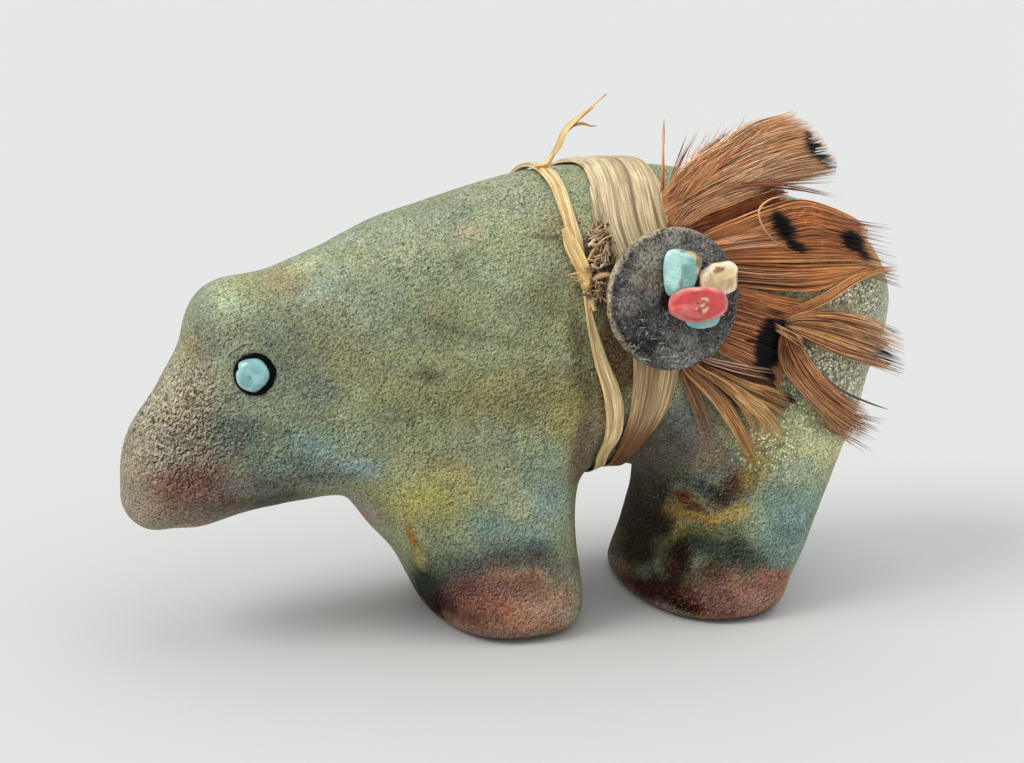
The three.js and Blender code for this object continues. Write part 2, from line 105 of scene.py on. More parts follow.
def lattice(ix, iy, iz, seed):
    h = (ix.astype(np.int64) * 374761393 + iy.astype(np.int64) * 668265263 + iz.astype(np.int64) * 2147483647 + seed * 1274126177) & 0xFFFFFFFF
    h = ((h ^ (h >> 13)) * 1274126177) & 0xFFFFFFFF
    h = (h ^ (h >> 16)) & 0xFFFFFFFF
    return h.astype(np.float64) / 4294967295.0 * 2 - 1


def noise(p, size, seed=0):
    """Smooth noise in -1..1 with features of the given size in millimetres."""
    q = np.asarray(p, float) / size + 97.3
    i = np.floor(q).astype(np.int64)
    f = q - i
    f = f * f * f * (f * (f * 6 - 15) + 10)
    out = 0.0
    for a in (0, 1):
        for b in (0, 1):
            for c in (0, 1):
                w = (f[..., 0] if a else 1 - f[..., 0]) * (f[..., 1] if b else 1 - f[..., 1]) * (f[..., 2] if c else 1 - f[..., 2])
                out = out + w * lattice(i[..., 0] + a, i[..., 1] + b, i[..., 2] + c, seed)
    return out


def cloud(p, size, seed=0, octaves=4, gain=0.55):
    total, amp, norm = 0.0, 1.0, 0.0
    for o in range(octaves):
        total = total + amp * noise(p, size / 2**o, seed + 31 * o)
        norm += amp
        amp *= gain
    return total / norm * 1.6


# ---------------------------------------------------------------- the clay body as a field
LIMBS = [
    ((7.5, 39.4, 18.4), (27.7, 36.3, 18.5), 0.5),    # barrel
    ((25.4, 38.1, 18.2), (40.6, 39.5, 12.5), 6.3),   # rump
    ((-9.1, 36.0, 17.6), (15.0, 40.5, 17.6), 6.0),   # shoulder
    ((-26.3, 33.7, 14.0), (-3.1, 37.4, 17.2), 7.0),  # neck
    ((-30.9, 32.2, 11.3), (-23.3, 33.5, 13.1), 6.0),  # head
    ((-34.9, 40.6, 6.1), (-31.5, 38.1, 6.9), 4.5),   # brow
    ((-46.8, 18.8, 2.2), (-37.7, 31.0, 6.5), 6.1),   # snout
    ((-41.2, 23.7, 7.7), (-26.5, 27.1, 6.3), 8.2),   # jaw
    ((-5.8, 21.9, 14.9), (-0.2, 5.4, 8.5), 7.8),     # foreleg
    ((-3.9, 6.6, 7.6), (-0.7, 1.8, 9.5), 6.5),       # forefoot
    ((35.3, 28.1, 13.9), (28.0, 0.7, 8.4), 8.1),     # hind leg
    ((26.0, -3.0, 9.2), (28.1, 4.2, 6.1), 6.9),      # hind foot
]
STATION_X = (-52.0, -47.5, -42.0, -32.0, -20.0, -5.0, 12.0, 30.0, 44.0, 54.0)
half_width_at = through(STATION_X, (7.0, 8.8, 9.9, 12.6, 14.7, 16.4, 17.6, 18.0, 17.2, 15.2))
rounding_at = through(STATION_X, (5.5, 6.0, 7.0, 9.0, 11.0, 13.0, 14.5, 14.0, 11.5, 10.0))
FOOT_EDGE = 3.5


def limb_depth(x, z, a, b):
    length = math.hypot(b[0] - a[0], b[1] - a[1])
    ux, uz = (b[0] - a[0]) / length, (b[1] - a[1]) / length
    along = (x - a[0]) * ux + (z - a[1]) * uz
    across = np.abs((z - a[1]) * ux - (x - a[0]) * uz)
    sine = (a[2] - b[2]) / length
    eased = np.sqrt(across * across + 9.0) - 3.0
    t = np.clip((along - eased * sine / math.sqrt(1 - sine * sine)) / length, 0, 1)
    r = a[2] + t * (b[2] - a[2])
    q = (along - t * length) ** 2 + across * across
    return np.where(q < r * r, (q - r * r) / (2 * r), np.sqrt(q) - r)


def outline(x, z):
    d = limb_depth(x, z, LIMBS[0][0], LIMBS[0][1])
    for a, b, k in LIMBS[1:]:
        d = smin(d, limb_depth(x, z, a, b), k)
    return d


def section(x, z):
    leg = (1 - ease(6, 26, z)) * ease(-26, -15, x)
    rear = ease(6, 18, x)
    half, rnd = half_width_at(x), rounding_at(x)
    return half + (16.7 + 2.0 * rear - half) * leg, rnd + (7.0 + 0.5 * rear - rnd) * leg


def bare_skin(p):
    x, y, z = p[..., 0], p[..., 1], p[..., 2]
    half, rnd = section(x, z)
    q = np.maximum(1 + outline(x, z) / rnd, 0)
    return rnd * (np.sqrt((y / half) ** 2 + q * q) - 1)


def skin(p):
    return -smin(-bare_skin(p), p[..., 2], FOOT_EDGE)


def skin_half(x, z):
    half, rnd = section(x, z)
    q = np.maximum(1 + outline(x, z) / rnd, 0)
    return np.where(q < 1, half * np.sqrt(np.maximum(1 - q * q, 0)), 0.0)


def gradient(fn, p, e=0.05):
    return np.stack([(fn(p + np.eye(3)[i] * e) - fn(p - np.eye(3)[i] * e)) / (2 * e) for i in range(3)], -1)


EYE_AT = np.array([-34.8, -10.7, 37.2])
EYE_OUT = unit(np.array([-0.42, -0.89, 0.17]))
SIDES = [("eye_left", 1.0), ("eye_right", -1.0)]
FLIP = np.array([1.0, -1.0, 1.0])


def worked_skin(p):
    """The skin with the maker's hand in it: soft swellings, lid folds and the eye sockets."""
    g = bare_skin(p)
    g = g + 0.16 * noise(p, 15.0, 5) + 0.07 * noise(p, 6.0, 6) + 0.028 * noise(p, 2.4, 8) + 0.016 * noise(p, 1.25, 9)
    # a shallow hollow at the throat, between the jaw and the chest facet
    near = np.abs(p[..., 1])
    line = (p[..., 0] + 17.2) * 0.83 + (p[..., 2] - 8.5) * 0.56
    g = g + 0.28 * np.exp(-((line + 1.4) / 1.1) ** 2) * ease(6, 12, near) * ease(3, 8, p[..., 2]) * (1 - ease(13, 18, p[..., 2]))
    g = -smin(-g, p[..., 2], FOOT_EDGE)
    for _, s in SIDES:
        centre = EYE_AT * np.array([1, s, 1])
        out = EYE_OUT * np.array([1, s, 1])
        rel = p - centre
        h = rel @ out
        flat = rel - h[..., None] * out
        r = np.linalg.norm(flat, axis=-1)
        # fold over the inner corner of the eye, a little raised with a groove under it
        ang = np.arctan2(flat[..., 2], -flat[..., 0])
        arc = np.exp(-((ang - 0.85) / 0.62) ** 2) * np.exp(-(h / 3.0) ** 2)
        g = g - 0.16 * np.exp(-((r - 3.75) / 0.42) ** 2) * arc + 0.14 * np.exp(-((r - 3.15) / 0.3) ** 2) * arc
        ball = 2.72 - np.linalg.norm(rel - out, axis=-1)
        g = -smin(-g, -ball, 0.35)
    return g


# ---------------------------------------------------------------- meshes
def make(name, verts_mm, faces, tone=None, uv=None, smooth=True, extra=None):
    verts = to_m(verts_mm).astype(np.float32)
    faces = np.asarray(faces, np.int32)
    mesh = bpy.data.meshes.new(name)
    n, k = faces.shape
    mesh.vertices.add(len(verts))
    mesh.vertices.foreach_set("co", verts.ravel())
    mesh.loops.add(n * k)
    mesh.loops.foreach_set("vertex_index", faces.ravel())
    mesh.polygons.add(n)
    mesh.polygons.foreach_set("loop_start", np.arange(0, n * k, k, dtype=np.int32))
    mesh.update(calc_edges=True)
    mesh.validate()
    mesh.polygons.foreach_set("use_smooth", np.full(len(mesh.polygons), smooth))
    if tone is not None:
        layer = mesh.color_attributes.new("tone", "FLOAT_COLOR", "POINT")
        rgba = np.ones((len(verts), 4), np.float32)
        rgba[:, : tone.shape[1]] = tone
        layer.data.foreach_set("color", rgba.ravel())
    for key, values in (extra or {}).items():
        layer = mesh.attributes.new(key, "FLOAT", "POINT")
        layer.data.foreach_set("value", values.astype(np.float32))
    if uv is not None:
        layer = mesh.uv_layers.new(name="strand")
        layer.data.foreach_set("uv", uv[faces.ravel()].astype(np.float32).ravel())
    ob = bpy.data.objects.new(name, mesh)
    bpy.context.scene.collection.objects.link(ob)
    return ob


def surface_net(fn, lo, hi, h):
    n = [int(math.ceil((hi[i] - lo[i]) / h)) + 1 for i in range(3)]
    axes = [lo[i] + h * np.arange(n[i]) for i in range(3)]
    g = np.empty(n)
    yy, zz = np.meshgrid(axes[1], axes[2], indexing="ij")
    for i, x in enumerate(axes[0]):
        g[i] = fn(np.stack([np.full_like(yy, x), yy, zz], -1))
    s = g < 0
    count = sum(s[a:n[0] - 1 + a, b:n[1] - 1 + b, c:n[2] - 1 + c].astype(np.int8) for a in (0, 1) for b in (0, 1) for c in (0, 1))
    live = (count > 0) & (count < 8)
    cells = np.argwhere(live)
    index = -np.ones(live.shape, np.int64)
    index[live] = np.arange(len(cells))
    acc, w = np.zeros((len(cells), 3)), np.zeros(len(cells))
    for a in (0, 1):
        for b in (0, 1):
            for c in (0, 1):
                for ax in range(3):
                    ca = [a, b, c]
                    if ca[ax]:
                        continue
                    cb = list(ca)
                    cb[ax] = 1
                    ga = g[cells[:, 0] + ca[0], cells[:, 1] + ca[1], cells[:, 2] + ca[2]]
                    gb = g[cells[:, 0] + cb[0], cells[:, 1] + cb[1], cells[:, 2] + cb[2]]
                    m = (ga < 0) != (gb < 0)
                    t = np.where(m, ga / np.where(m, ga - gb, 1), 0)
                    p = np.tile(np.array(ca, float), (len(cells), 1))
                    p[:, ax] += t
                    acc += np.where(m[:, None], p, 0)
                    w += m
    verts = (cells + acc / w[:, None]) * h + np.array(lo)
    quads = []
    for ax in range(3):
        b, c = (ax + 1) % 3, (ax + 2) % 3
        s0, s1 = [slice(None)] * 3, [slice(None)] * 3
        s0[ax], s1[ax] = slice(0, n[ax] - 1), slice(1, n[ax])
        e0, e1 = s[tuple(s0)], s[tuple(s1)]
        at = np.argwhere(e0 != e1)
        at = at[(at[:, b] > 0) & (at[:, c] > 0) & (at[:, b] < n[b] - 1) & (at[:, c] < n[c] - 1)]
        inside = e0[at[:, 0], at[:, 1], at[:, 2]]

        def cell(db, dc):
            q = at.copy()
            q[:, b] -= db
            q[:, c] -= dc
            return index[q[:, 0], q[:, 1], q[:, 2]]
        quad = np.stack([cell(1, 1), cell(0, 1), cell(0, 0), cell(1, 0)], 1)
        quad[~inside] = quad[~inside][:, ::-1]
        quads.append(quad)
    return verts, np.concatenate(quads)


# ---------------------------------------------------------------- node helper
class Nodes:
    def __init__(self, name):
        self.mat = bpy.data.materials.new(name)
        self.mat.use_nodes = True
        self.t = self.mat.node_tree
        self.t.nodes.clear()
        self.out = self.t.nodes.new("ShaderNodeOutputMaterial")
        self.bsdf = self.t.nodes.new("ShaderNodeBsdfPrincipled")
        self.t.links.new(self.bsdf.outputs[0], self.out.inputs[0])
        self.pos = self.t.nodes.new("ShaderNodeTexCoord").outputs["Object"]

    def _put(self, socket, value):
        if isinstance(value, bpy.types.NodeSocket):
            self.t.links.new(value, socket)
        elif hasattr(socket.default_value, "__len__") and not hasattr(value, "__len__"):
            socket.default_value = [value] * len(socket.default_value)
        elif hasattr(socket.default_value, "__len__") and len(socket.default_value) == 4 and len(value) == 3:
            socket.default_value = (*value, 1.0)
        else:
            socket.default_value = value

    def set(self, **values):
        for key, value in values.items():
            self._put(self.bsdf.inputs[key.replace("_", " ")], value)

    def math(self, op, a, b=0.5, c=0.5, clamp=False):
        n = self.t.nodes.new("ShaderNodeMath")
        n.operation, n.use_clamp = op, clamp
        for i, v in enumerate((a, b, c)):
            self._put(n.inputs[i], v)
        return n.outputs[0]

    def vmath(self, op, a, b=(0, 0, 0), out="Vector", scale=1.0):
        n = self.t.nodes.new("ShaderNodeVectorMath")
        n.operation = op
        self._put(n.inputs[0], a)
        self._put(n.inputs[1], b)
        if op == "SCALE":
            self._put(n.inputs["Scale"], scale)
        return n.outputs[out]

    def noise(self, scale, detail=3.0, rough=0.55, vector=None, distort=0.0, color=False):
        n = self.t.nodes.new("ShaderNodeTexNoise")
        self.t.links.new(vector or self.pos, n.inputs["Vector"])
        n.inputs["Scale"].default_value = scale
        n.inputs["Detail"].default_value = detail
        n.inputs["Roughness"].default_value = rough
        n.inputs["Distortion"].default_value = distort
        return n.outputs["Color" if color else "Fac"]

    def voronoi(self, scale, feature="F1", vector=None, randomness=1.0, out="Distance"):
        n = self.t.nodes.new("ShaderNodeTexVoronoi")
        n.feature = feature
        self.t.links.new(vector or self.pos, n.inputs["Vector"])
        n.inputs["Scale"].default_value = scale
        n.inputs["Randomness"].default_value = randomness
        return n.outputs[out]

    def mapping(self, vector, scale):
        n = self.t.nodes.new("ShaderNodeMapping")
        self.t.links.new(vector, n.inputs["Vector"])
        n.inputs["Scale"].default_value = scale
        return n.outputs[0]

    def span(self, value, a, b, c=0.0, d=1.0, smooth=True):
        n = self.t.nodes.new("ShaderNodeMapRange")
        n.interpolation_type = "SMOOTHSTEP" if smooth else "LINEAR"
        for i, v in enumerate((value, a, b, c, d)):
            self._put(n.inputs[i], v)
        return n.outputs[0]

    def mix(self, fac, a, b, blend="MIX"):
        n = self.t.nodes.new("ShaderNodeMix")
        n.data_type, n.blend_type = "RGBA", blend
        n.clamp_factor = True
        self._put(n.inputs[0], fac)
        self._put(n.inputs[6], a)
        self._put(n.inputs[7], b)
        return n.outputs[2]

    def ramp(self, fac, stops):
        n = self.t.nodes.new("ShaderNodeValToRGB")
        self._put(n.inputs[0], fac)
        el = n.color_ramp.elements
        while len(el) < len(stops):
            el.new(0.5)
        for e, (at, col) in zip(el, stops):
            e.position = at
            e.color = (*col, 1.0)
        return n.outputs[0]

    def attr(self, name, out="Color"):
        n = self.t.nodes.new("ShaderNodeAttribute")
        n.attribute_name = name
        return n.outputs[out]

    def uv(self):
        n = self.t.nodes.new("ShaderNodeUVMap")
        n.uv_map = "strand"
        return n.outputs[0]

    def bump(self, height, distance, strength=1.0, normal=None):
        n = self.t.nodes.new("ShaderNodeBump")
        self._put(n.inputs["Height"], height)
        n.inputs["Distance"].default_value = distance
        n.inputs["Strength"].default_value = strength
        if normal is not None:
            self.t.links.new(normal, n.inputs["Normal"])
        return n.outputs[0]


def lin(r, g, b):
    c = np.array([r, g, b], float) / 255.0
    return tuple(np.where(c <= 0.04045, c / 12.92, ((c + 0.055) / 1.055) ** 2.4).tolist())


def wear(ob, *mats):
    ob.data.materials.clear()
    for m in mats:
        ob.data.materials.append(m)


def piece(ob, *nodes):
    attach(ob, "root")
    if nodes:
        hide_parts(*nodes)
    return ob


# ---------------------------------------------------------------- clay body
CELL = 0.46
verts, quads = surface_net(worked_skin, (-53, -20.5, -1.5), (56, 20.5, 61), CELL)
for _ in range(2):
    g = worked_skin(verts)
    grad = gradient(worked_skin, verts, 0.08)
    step = np.clip(g / np.maximum((grad**2).sum(-1), 0.2), -0.3, 0.3)
    verts = verts - grad * step[:, None]
verts[:, 2] = np.where(verts[:, 2] < 0.05, 0.0, verts[:, 2])

# The firing colours of the near flank, laid on one over another. Each is an ellipse in view
# coordinates (middle, half sizes, tilt down to the right) with its glaze and how much it covers.
SAGE = (140, 146, 112)
NEAR = [
    # flank
    (480, 360, 150, 110, 0, (141, 143, 107), 0.8, 1.0),
    (395, 415, 70, 60, 10, (141, 145, 108), 0.8, 1.0),
    (500, 290, 90, 40, -10, (148, 156, 122), 0.7, 1.0),
    (470, 210, 150, 30, -22, (138, 142, 115), 0.7, 1.0),
    (385, 300, 60, 36, -20, (126, 132, 108), 0.7, 1.0),
    (340, 345, 60, 40, 0, (112, 117, 93), 0.75, 1.0),
    (445, 270, 46, 24, -12, (112, 122, 107), 0.85, 0.9),
    (470, 285, 22, 14, 0, (108, 120, 108), 0.6, 0.9),
    (466, 233, 20, 8, -8, (160, 146, 118), 0.8, 0.8),
    (430, 255, 26, 10, -20, (150, 150, 118), 0.5, 0.9),
    (525, 205, 24, 12, -20, (136, 146, 122), 0.6, 0.9),
    (545, 250, 18, 60, -8, (132, 134, 110), 0.6, 0.9),
    (520, 300, 34, 22, 0, (140, 148, 118), 0.6, 0.9),
    (535, 372, 44, 13, 4, (118, 118, 86), 0.75, 0.9),
    (478, 337, 74, 8, 10, (112, 112, 86), 0.6, 0.8),
    (432, 374, 18, 8, 8, (98, 96, 76), 0.9, 0.8),
    (412, 421, 7, 5, 20, (84, 88, 74), 0.8, 0.6),
    (575, 385, 14, 26, 0, (112, 106, 78), 0.7, 0.9),
    (556, 404, 40, 24, 10, (146, 140, 84), 0.85, 0.9),
    (566, 428, 20, 22, 20, (156, 150, 92), 0.8, 0.9),
    (530, 425, 26, 14, 0, (150, 144, 92), 0.5, 0.9),
    (512, 345, 30, 10, 4, (148, 150, 104), 0.5, 0.9),
    # chest and foreleg
    (430, 498, 62, 36, -6, (156, 152, 98), 0.85, 1.0),
    (425, 500, 36, 24, -8, (168, 160, 86), 0.75, 0.9),
    (452, 468, 26, 12, 12, (148, 138, 92), 0.75, 0.9),
    (398, 470, 26, 16, 20, (150, 150, 112), 0.6, 0.9),
    (360, 468, 30, 14, 14, (146, 164, 154), 0.85, 0.8),
    (545, 458, 34, 30, 0, (144, 158, 126), 0.7, 1.0),
    (552, 505, 30, 44, 0, (142, 162, 146), 0.8, 0.9),
    (538, 500, 9, 24, 0, (130, 156, 150), 0.6, 0.9),
    (486, 526, 26, 16, 4, (100, 128, 116), 0.8, 0.9),
    (515, 535, 50, 16, -4, (116, 136, 124), 0.8, 0.9),
    (455, 545, 36, 14, 20, (116, 128, 104), 0.7, 0.9),
    (545, 480, 26, 8, 0, (150, 158, 128), 0.5, 0.9),
    (512, 552, 66, 11, -4, (76, 86, 79), 0.88, 0.8),
    (438, 568, 34, 20, 8, (48, 64, 57), 0.94, 0.7),
    (428, 586, 24, 18, 40, (34, 42, 37), 0.94, 0.7),
    (545, 566, 40, 10, 0, (104, 104, 92), 0.7, 0.8),
    (505, 606, 80, 46, 2, (148, 102, 80), 0.96, 0.45),
    (470, 566, 40, 9, -16, (70, 56, 54), 0.85, 0.8),
    (556, 566, 26, 12, 24, (96, 92, 84), 0.8, 0.8),
    (490, 600, 30, 20, 14, (138, 74, 56), 0.8, 0.9),
    (474, 586, 18, 10, 10, (112, 58, 48), 0.75, 0.9),
    (545, 604, 36, 18, 0, (164, 130, 108), 0.8, 0.9),
    (510, 634, 66, 7, 3, (116, 96, 80), 0.7, 0.8),
    (440, 602, 22, 20, 44, (44, 24, 20), 0.95, 0.7),
    (584, 446, 13, 44, 14, (112, 92, 78), 0.9, 0.55),
    (578, 520, 4, 50, -2, (150, 116, 76), 0.8, 0.7),
    (600, 470, 12, 20, 20, (96, 84, 74), 0.7, 0.8),
    (416, 549, 3.6, 22, -24, (150, 118, 58), 0.95, 0.5),
    (411, 539, 2.4, 10, -24, (116, 78, 32), 0.9, 0.6),
    (420, 562, 3.4, 8, -20, (176, 160, 96), 0.7, 0.8),
    # throat
    (368, 512, 30, 9, 46, (156, 148, 128), 0.8, 0.7),
    (366, 516, 14, 5, 50, (150, 126, 112), 0.7, 0.7),
    # head
    (268, 350, 84, 62, 0, (112, 116, 94), 0.85, 1.0),
    (290, 380, 46, 40, 0, (112, 118, 96), 0.7, 0.9),
    (325, 290, 52, 16, -18, (138, 148, 128), 0.8, 0.9),
    (222, 303, 32, 20, 0, (150, 162, 132), 0.85, 0.9),
    (226, 302, 14, 9, 10, (160, 176, 138), 0.7, 0.9),
    (198, 305, 14, 34, 14, (124, 130, 116), 0.7, 0.9),
    (282, 277, 42, 12, -14, (142, 132, 104), 0.85, 0.8),
    (292, 290, 26, 6, -14, (136, 116, 94), 0.6, 0.8),
    (308, 267, 20, 9, -20, (162, 166, 126), 0.85, 0.9),
    (205, 350, 26, 26, 20, (116, 116, 104), 0.8, 0.9),
    (184, 356, 9, 14, 24, (158, 154, 112), 0.85, 0.9),
    (324, 390, 18, 26, 10, (104, 116, 106), 0.7, 0.9),
    (296, 352, 26, 18, 0, (112, 112, 88), 0.6, 0.9),
    # muzzle
    (155, 440, 52, 90, 20, (138, 126, 108), 0.9, 0.9),
    (178, 392, 20, 44, 30, (140, 132, 112), 0.8, 0.9),
    (205, 405, 26, 30, 20, (112, 102, 86), 0.8, 0.9),
    (152, 418, 12, 14, 0, (126, 134, 112), 0.7, 0.9),
    (140, 462, 14, 48, 8, (150, 134, 112), 0.7, 0.9),
    (196, 488, 62, 38, 8, (108, 80, 68), 0.92, 0.8),
    (196, 486, 38, 24, 0, (98, 66, 56), 0.85, 0.9),
    (158, 480, 14, 14, 0, (128, 92, 80), 0.7, 0.9),
    (170, 514, 50, 14, 8, (138, 106, 92), 0.8, 0.9),
    (140, 510, 22, 18, 30, (140, 122, 106), 0.75, 0.9),
    (214, 448, 30, 12, 10, (94, 82, 74), 0.8, 0.9),
    (236, 428, 42, 16, 6, (74, 80, 70), 0.92, 0.9),
    (262, 442, 50, 24, 8, (92, 104, 94), 0.85, 0.9),
    (316, 446, 32, 24, 6, (116, 140, 130), 0.85, 0.9),
    (284, 466, 58, 13, 6, (94, 112, 104), 0.88, 0.9),
    (268, 482, 62, 11, -3, (82, 82, 82), 0.88, 0.9),
    (235, 484, 22, 10, 0, (116, 106, 112), 0.6, 0.9),
    (270, 500, 70, 13, -8, (72, 68, 63), 0.9, 0.8),
    (335, 478, 24, 12, 0, (110, 104, 100), 0.6, 0.9),
    # haunch and rear leg
    (700, 440, 76, 50, 0, (100, 96, 84), 0.9, 0.9),
    (690, 432, 44, 34, 20, (104, 110, 108), 0.9, 0.9),
    (646, 484, 42, 70, 4, (50, 42, 27), 0.97, 0.6),
    (705, 445, 22, 30, 30, (140, 116, 94), 0.6, 0.9),
    (728, 430, 14, 26, 10, (134, 138, 104), 0.7, 0.9),
    (720, 466, 20, 16, 20, (100, 98, 100), 0.8, 0.8),
    (708, 492, 30, 13, 20, (60, 68, 70), 0.92, 0.7),
    (736, 487, 17, 20, 0, (72, 46, 40), 0.92, 0.8),
    (722, 505, 13, 10, 10, (30, 35, 34), 0.92, 0.8),
    (800, 430, 66, 58, 0, (182, 186, 136), 0.92, 0.9),
    (778, 458, 34, 18, -10, (166, 170, 118), 0.7, 0.9),
    (800, 515, 60, 56, -20, (124, 148, 136), 0.9, 0.9),
    (790, 520, 20, 40, -10, (112, 144, 142), 0.8, 0.9),
    (775, 545, 12, 40, -8, (96, 130, 126), 0.6, 0.9),
    (760, 470, 12, 40, 0, (158, 144, 84), 0.85, 0.8),
    (752, 455, 10, 20, 10, (146, 112, 54), 0.8, 0.8),
    (764, 540, 26, 24, 0, (126, 140, 116), 0.6, 0.9),
    (722, 549, 60, 21, 4, (52, 58, 47), 0.96, 0.75),
    (742, 562, 38, 14, 6, (48, 54, 46), 0.85, 0.8),
    (648, 528, 38, 36, 0, (56, 46, 24), 0.96, 0.7),
    (700, 519, 44, 8, 14, (142, 104, 44), 0.94, 0.6),
    (688, 501, 14, 10, 20, (110, 58, 32), 0.92, 0.7),
    (672, 508, 10, 12, 20, (150, 118, 56), 0.9, 0.7),
    (690, 512, 8, 6, 0, (84, 54, 44), 0.85, 0.7),
    (728, 518, 18, 8, -16, (168, 138, 62), 0.85, 0.7),
    (744, 512, 10, 8, -20, (168, 156, 92), 0.8, 0.8),
    (680, 532, 7, 18, 12, (156, 132, 62), 0.85, 0.7),
    (698, 535, 34, 7, -4, (98, 98, 44), 0.85, 0.7),
    (660, 546, 16, 12, -20, (120, 112, 66), 0.7, 0.8),
    (630, 552, 40, 30, 0, (52, 42, 27), 0.92, 0.8),
    (678, 570, 24, 28, 0, (34, 22, 17), 0.94, 0.7),
    (677, 560, 11, 13, 0, (82, 36, 30), 0.8, 0.8),
    (742, 597, 62, 34, -4, (130, 90, 76), 0.96, 0.4),
    (744, 598, 36, 16, 0, (142, 100, 88), 0.55, 0.9),
    (776, 580, 24, 12, 0, (140, 92, 76), 0.7, 0.9),
    (674, 594, 44, 18, 26, (40, 18, 12), 0.96, 0.65),
    (706, 608, 40, 8, 18, (110, 56, 38), 0.75, 0.8),
    (626, 576, 24, 9, 36, (126, 84, 58), 0.9, 0.7),
    (612, 556, 8, 16, 0, (116, 96, 76), 0.6, 0.9),
    (845, 440, 13, 62, 14, (166, 160, 132), 0.8, 0.8),
    (812, 545, 5, 34, 20, (176, 160, 148), 0.8, 0.8),
    (790, 588, 6, 22, 26, (170, 150, 136), 0.7, 0.8),
    # rump
    (850, 330, 60, 70, 0, (198, 192, 164), 0.92, 0.9),
    (838, 298, 44, 14, -6, (206, 196, 162), 0.75, 0.9),
    (840, 388, 32, 26, 20, (200, 204, 174), 0.8, 0.9),
    (828, 352, 16, 10, 30, (172, 150, 100), 0.7, 0.9),
    (788, 196, 20, 10, 0, (140, 146, 130), 0.8, 0.9),
    # thinner and thicker firing over the flank, and a painted shadow strip along the left edge of the tie
    (400, 302, 50, 38, 0, (124, 135, 112), 0.75, 1.0),
    (462, 300, 70, 60, -6, (132, 140, 108), 0.6, 1.0),
    (530, 302, 36, 34, 0, (128, 129, 94), 0.75, 1.0),
    (468, 400, 76, 34, -6, (123, 121, 84), 0.75, 1.0),
    (530, 402, 32, 30, 0, (124, 118, 78), 0.7, 1.0),
    (450, 450, 44, 24, 0, (128, 129, 93), 0.7, 1.0),
    (380, 402, 36, 30, 0, (125, 127, 92), 0.6, 1.0),
    (560, 230, 18, 26, 0, (142, 134, 96), 0.8, 0.9),
    (540, 482, 28, 22, 0, (118, 131, 111), 0.7, 1.0),
    # painted shadow: a dark narrow strip along the left edge of the tie, in two pieces
    (576, 340, 12, 46, -8, (88, 82, 56), 0.85, 0.8),
    (588, 386, 8, 32, -4, (84, 78, 54), 0.85, 0.8),
    # muzzle and cheek
    (185, 440, 34, 22, 20, (112, 100, 86), 0.85, 0.9),
    (230, 402, 28, 18, 20, (108, 112, 94), 0.75, 1.0),
    (200, 470, 42, 15, 0, (101, 79, 70), 0.75, 0.9),
    (200, 500, 38, 13, -6, (120, 90, 80), 0.8, 0.9),
    (172, 380, 20, 24, 30, (151, 149, 129), 0.7, 1.0),
    (300, 420, 24, 16, 0, (110, 122, 107), 0.8, 1.0),
    (150, 472, 16, 22, 10, (132, 114, 97), 0.6, 0.9),
    # front foot
    (505, 588, 60, 16, -4, (116, 84, 71), 0.85, 0.8),
    (463, 592, 22, 26, 24, (82, 52, 48), 0.85, 0.9),
    (482, 620, 28, 15, 0, (117, 78, 61), 0.75, 0.8),
    (504, 560, 52, 11, -4, (84, 77, 69), 0.85, 0.8),
    (565, 571, 14, 14, 0, (113, 106, 95), 0.8, 0.9),
    (420, 558, 9, 14, -30, (122, 120, 84), 0.8, 0.8),
    (430, 585, 18, 22, 40, (38, 46, 43), 0.92, 0.9),
    (440, 606, 18, 13, 40, (38, 21, 19), 0.93, 0.9),
    # rear leg
    (626, 500, 16, 64, 4, (42, 34, 24), 0.97, 0.5),
    (615, 542, 12, 30, 0, (64, 57, 41), 0.95, 0.6),
    (626, 574, 24, 8, 34, (112, 76, 58), 0.92, 0.7),
    (648, 591, 34, 14, 28, (52, 28, 20), 0.93, 0.8),
    (665, 458, 22, 20, 10, (74, 78, 68), 0.85, 0.8),
    (682, 556, 14, 20, 0, (40, 23, 19), 0.95, 0.6),
    (682, 602, 26, 14, 20, (44, 20, 15), 0.96, 0.6),
    (712, 573, 22, 14, -20, (72, 49, 41), 0.92, 0.7),
    (722, 600, 30, 14, 10, (96, 68, 57), 0.85, 0.7),
    (702, 541, 28, 8, -4, (50, 55, 41), 0.9, 0.7),
    (722, 498, 14, 12, 0, (50, 42, 30), 0.9, 0.7),
    (732, 530, 22, 12, -10, (88, 94, 74), 0.85, 0.8),
    (742, 478, 18, 12, 0, (106, 88, 53), 0.85, 0.8),
    (711, 458, 22, 12, 10, (114, 104, 79), 0.8, 0.8),
    (757, 440, 20, 14, 0, (150, 132, 84), 0.8, 0.9),
    (764, 602, 26, 14, 0, (136, 108, 94), 0.8, 0.8),
    (780, 540, 30, 18, 0, (98, 118, 110), 0.75, 0.9),
    (770, 500, 30, 20, 0, (110, 128, 108), 0.6, 0.9),
    (800, 470, 22, 16, 0, (150, 162, 137), 0.8, 0.9),
    (812, 440, 28, 16, 0, (174, 176, 137), 0.85, 0.9),
    (858, 300, 26, 26, 0, (146, 142, 122), 0.85, 0.9),
    (400, 304, 44, 34, 0, (118, 129, 106), 0.5, 1.0),
    (172, 380, 16, 24, 30, (138, 136, 116), 0.6, 1.0),
    (186, 442, 24, 14, 20, (100, 89, 76), 0.7, 1.0),
    (560, 228, 16, 24, 0, (128, 122, 88), 0.7, 0.9),
    (466, 571, 26, 11, -24, (78, 72, 68), 0.85, 0.8),
    (566, 570, 12, 12, 0, (130, 124, 112), 0.8, 0.9),
    (410, 537, 4, 14, -22, (156, 104, 42), 0.9, 0.7),
    (419, 557, 5, 12, -20, (168, 150, 86), 0.85, 0.8),
    (651, 482, 18, 26, 0, (62, 54, 42), 0.8, 0.9),
    (651, 522, 18, 16, 0, (46, 39, 27), 0.8, 0.9),
    (668, 464, 22, 20, 10, (86, 86, 72), 0.85, 0.9),
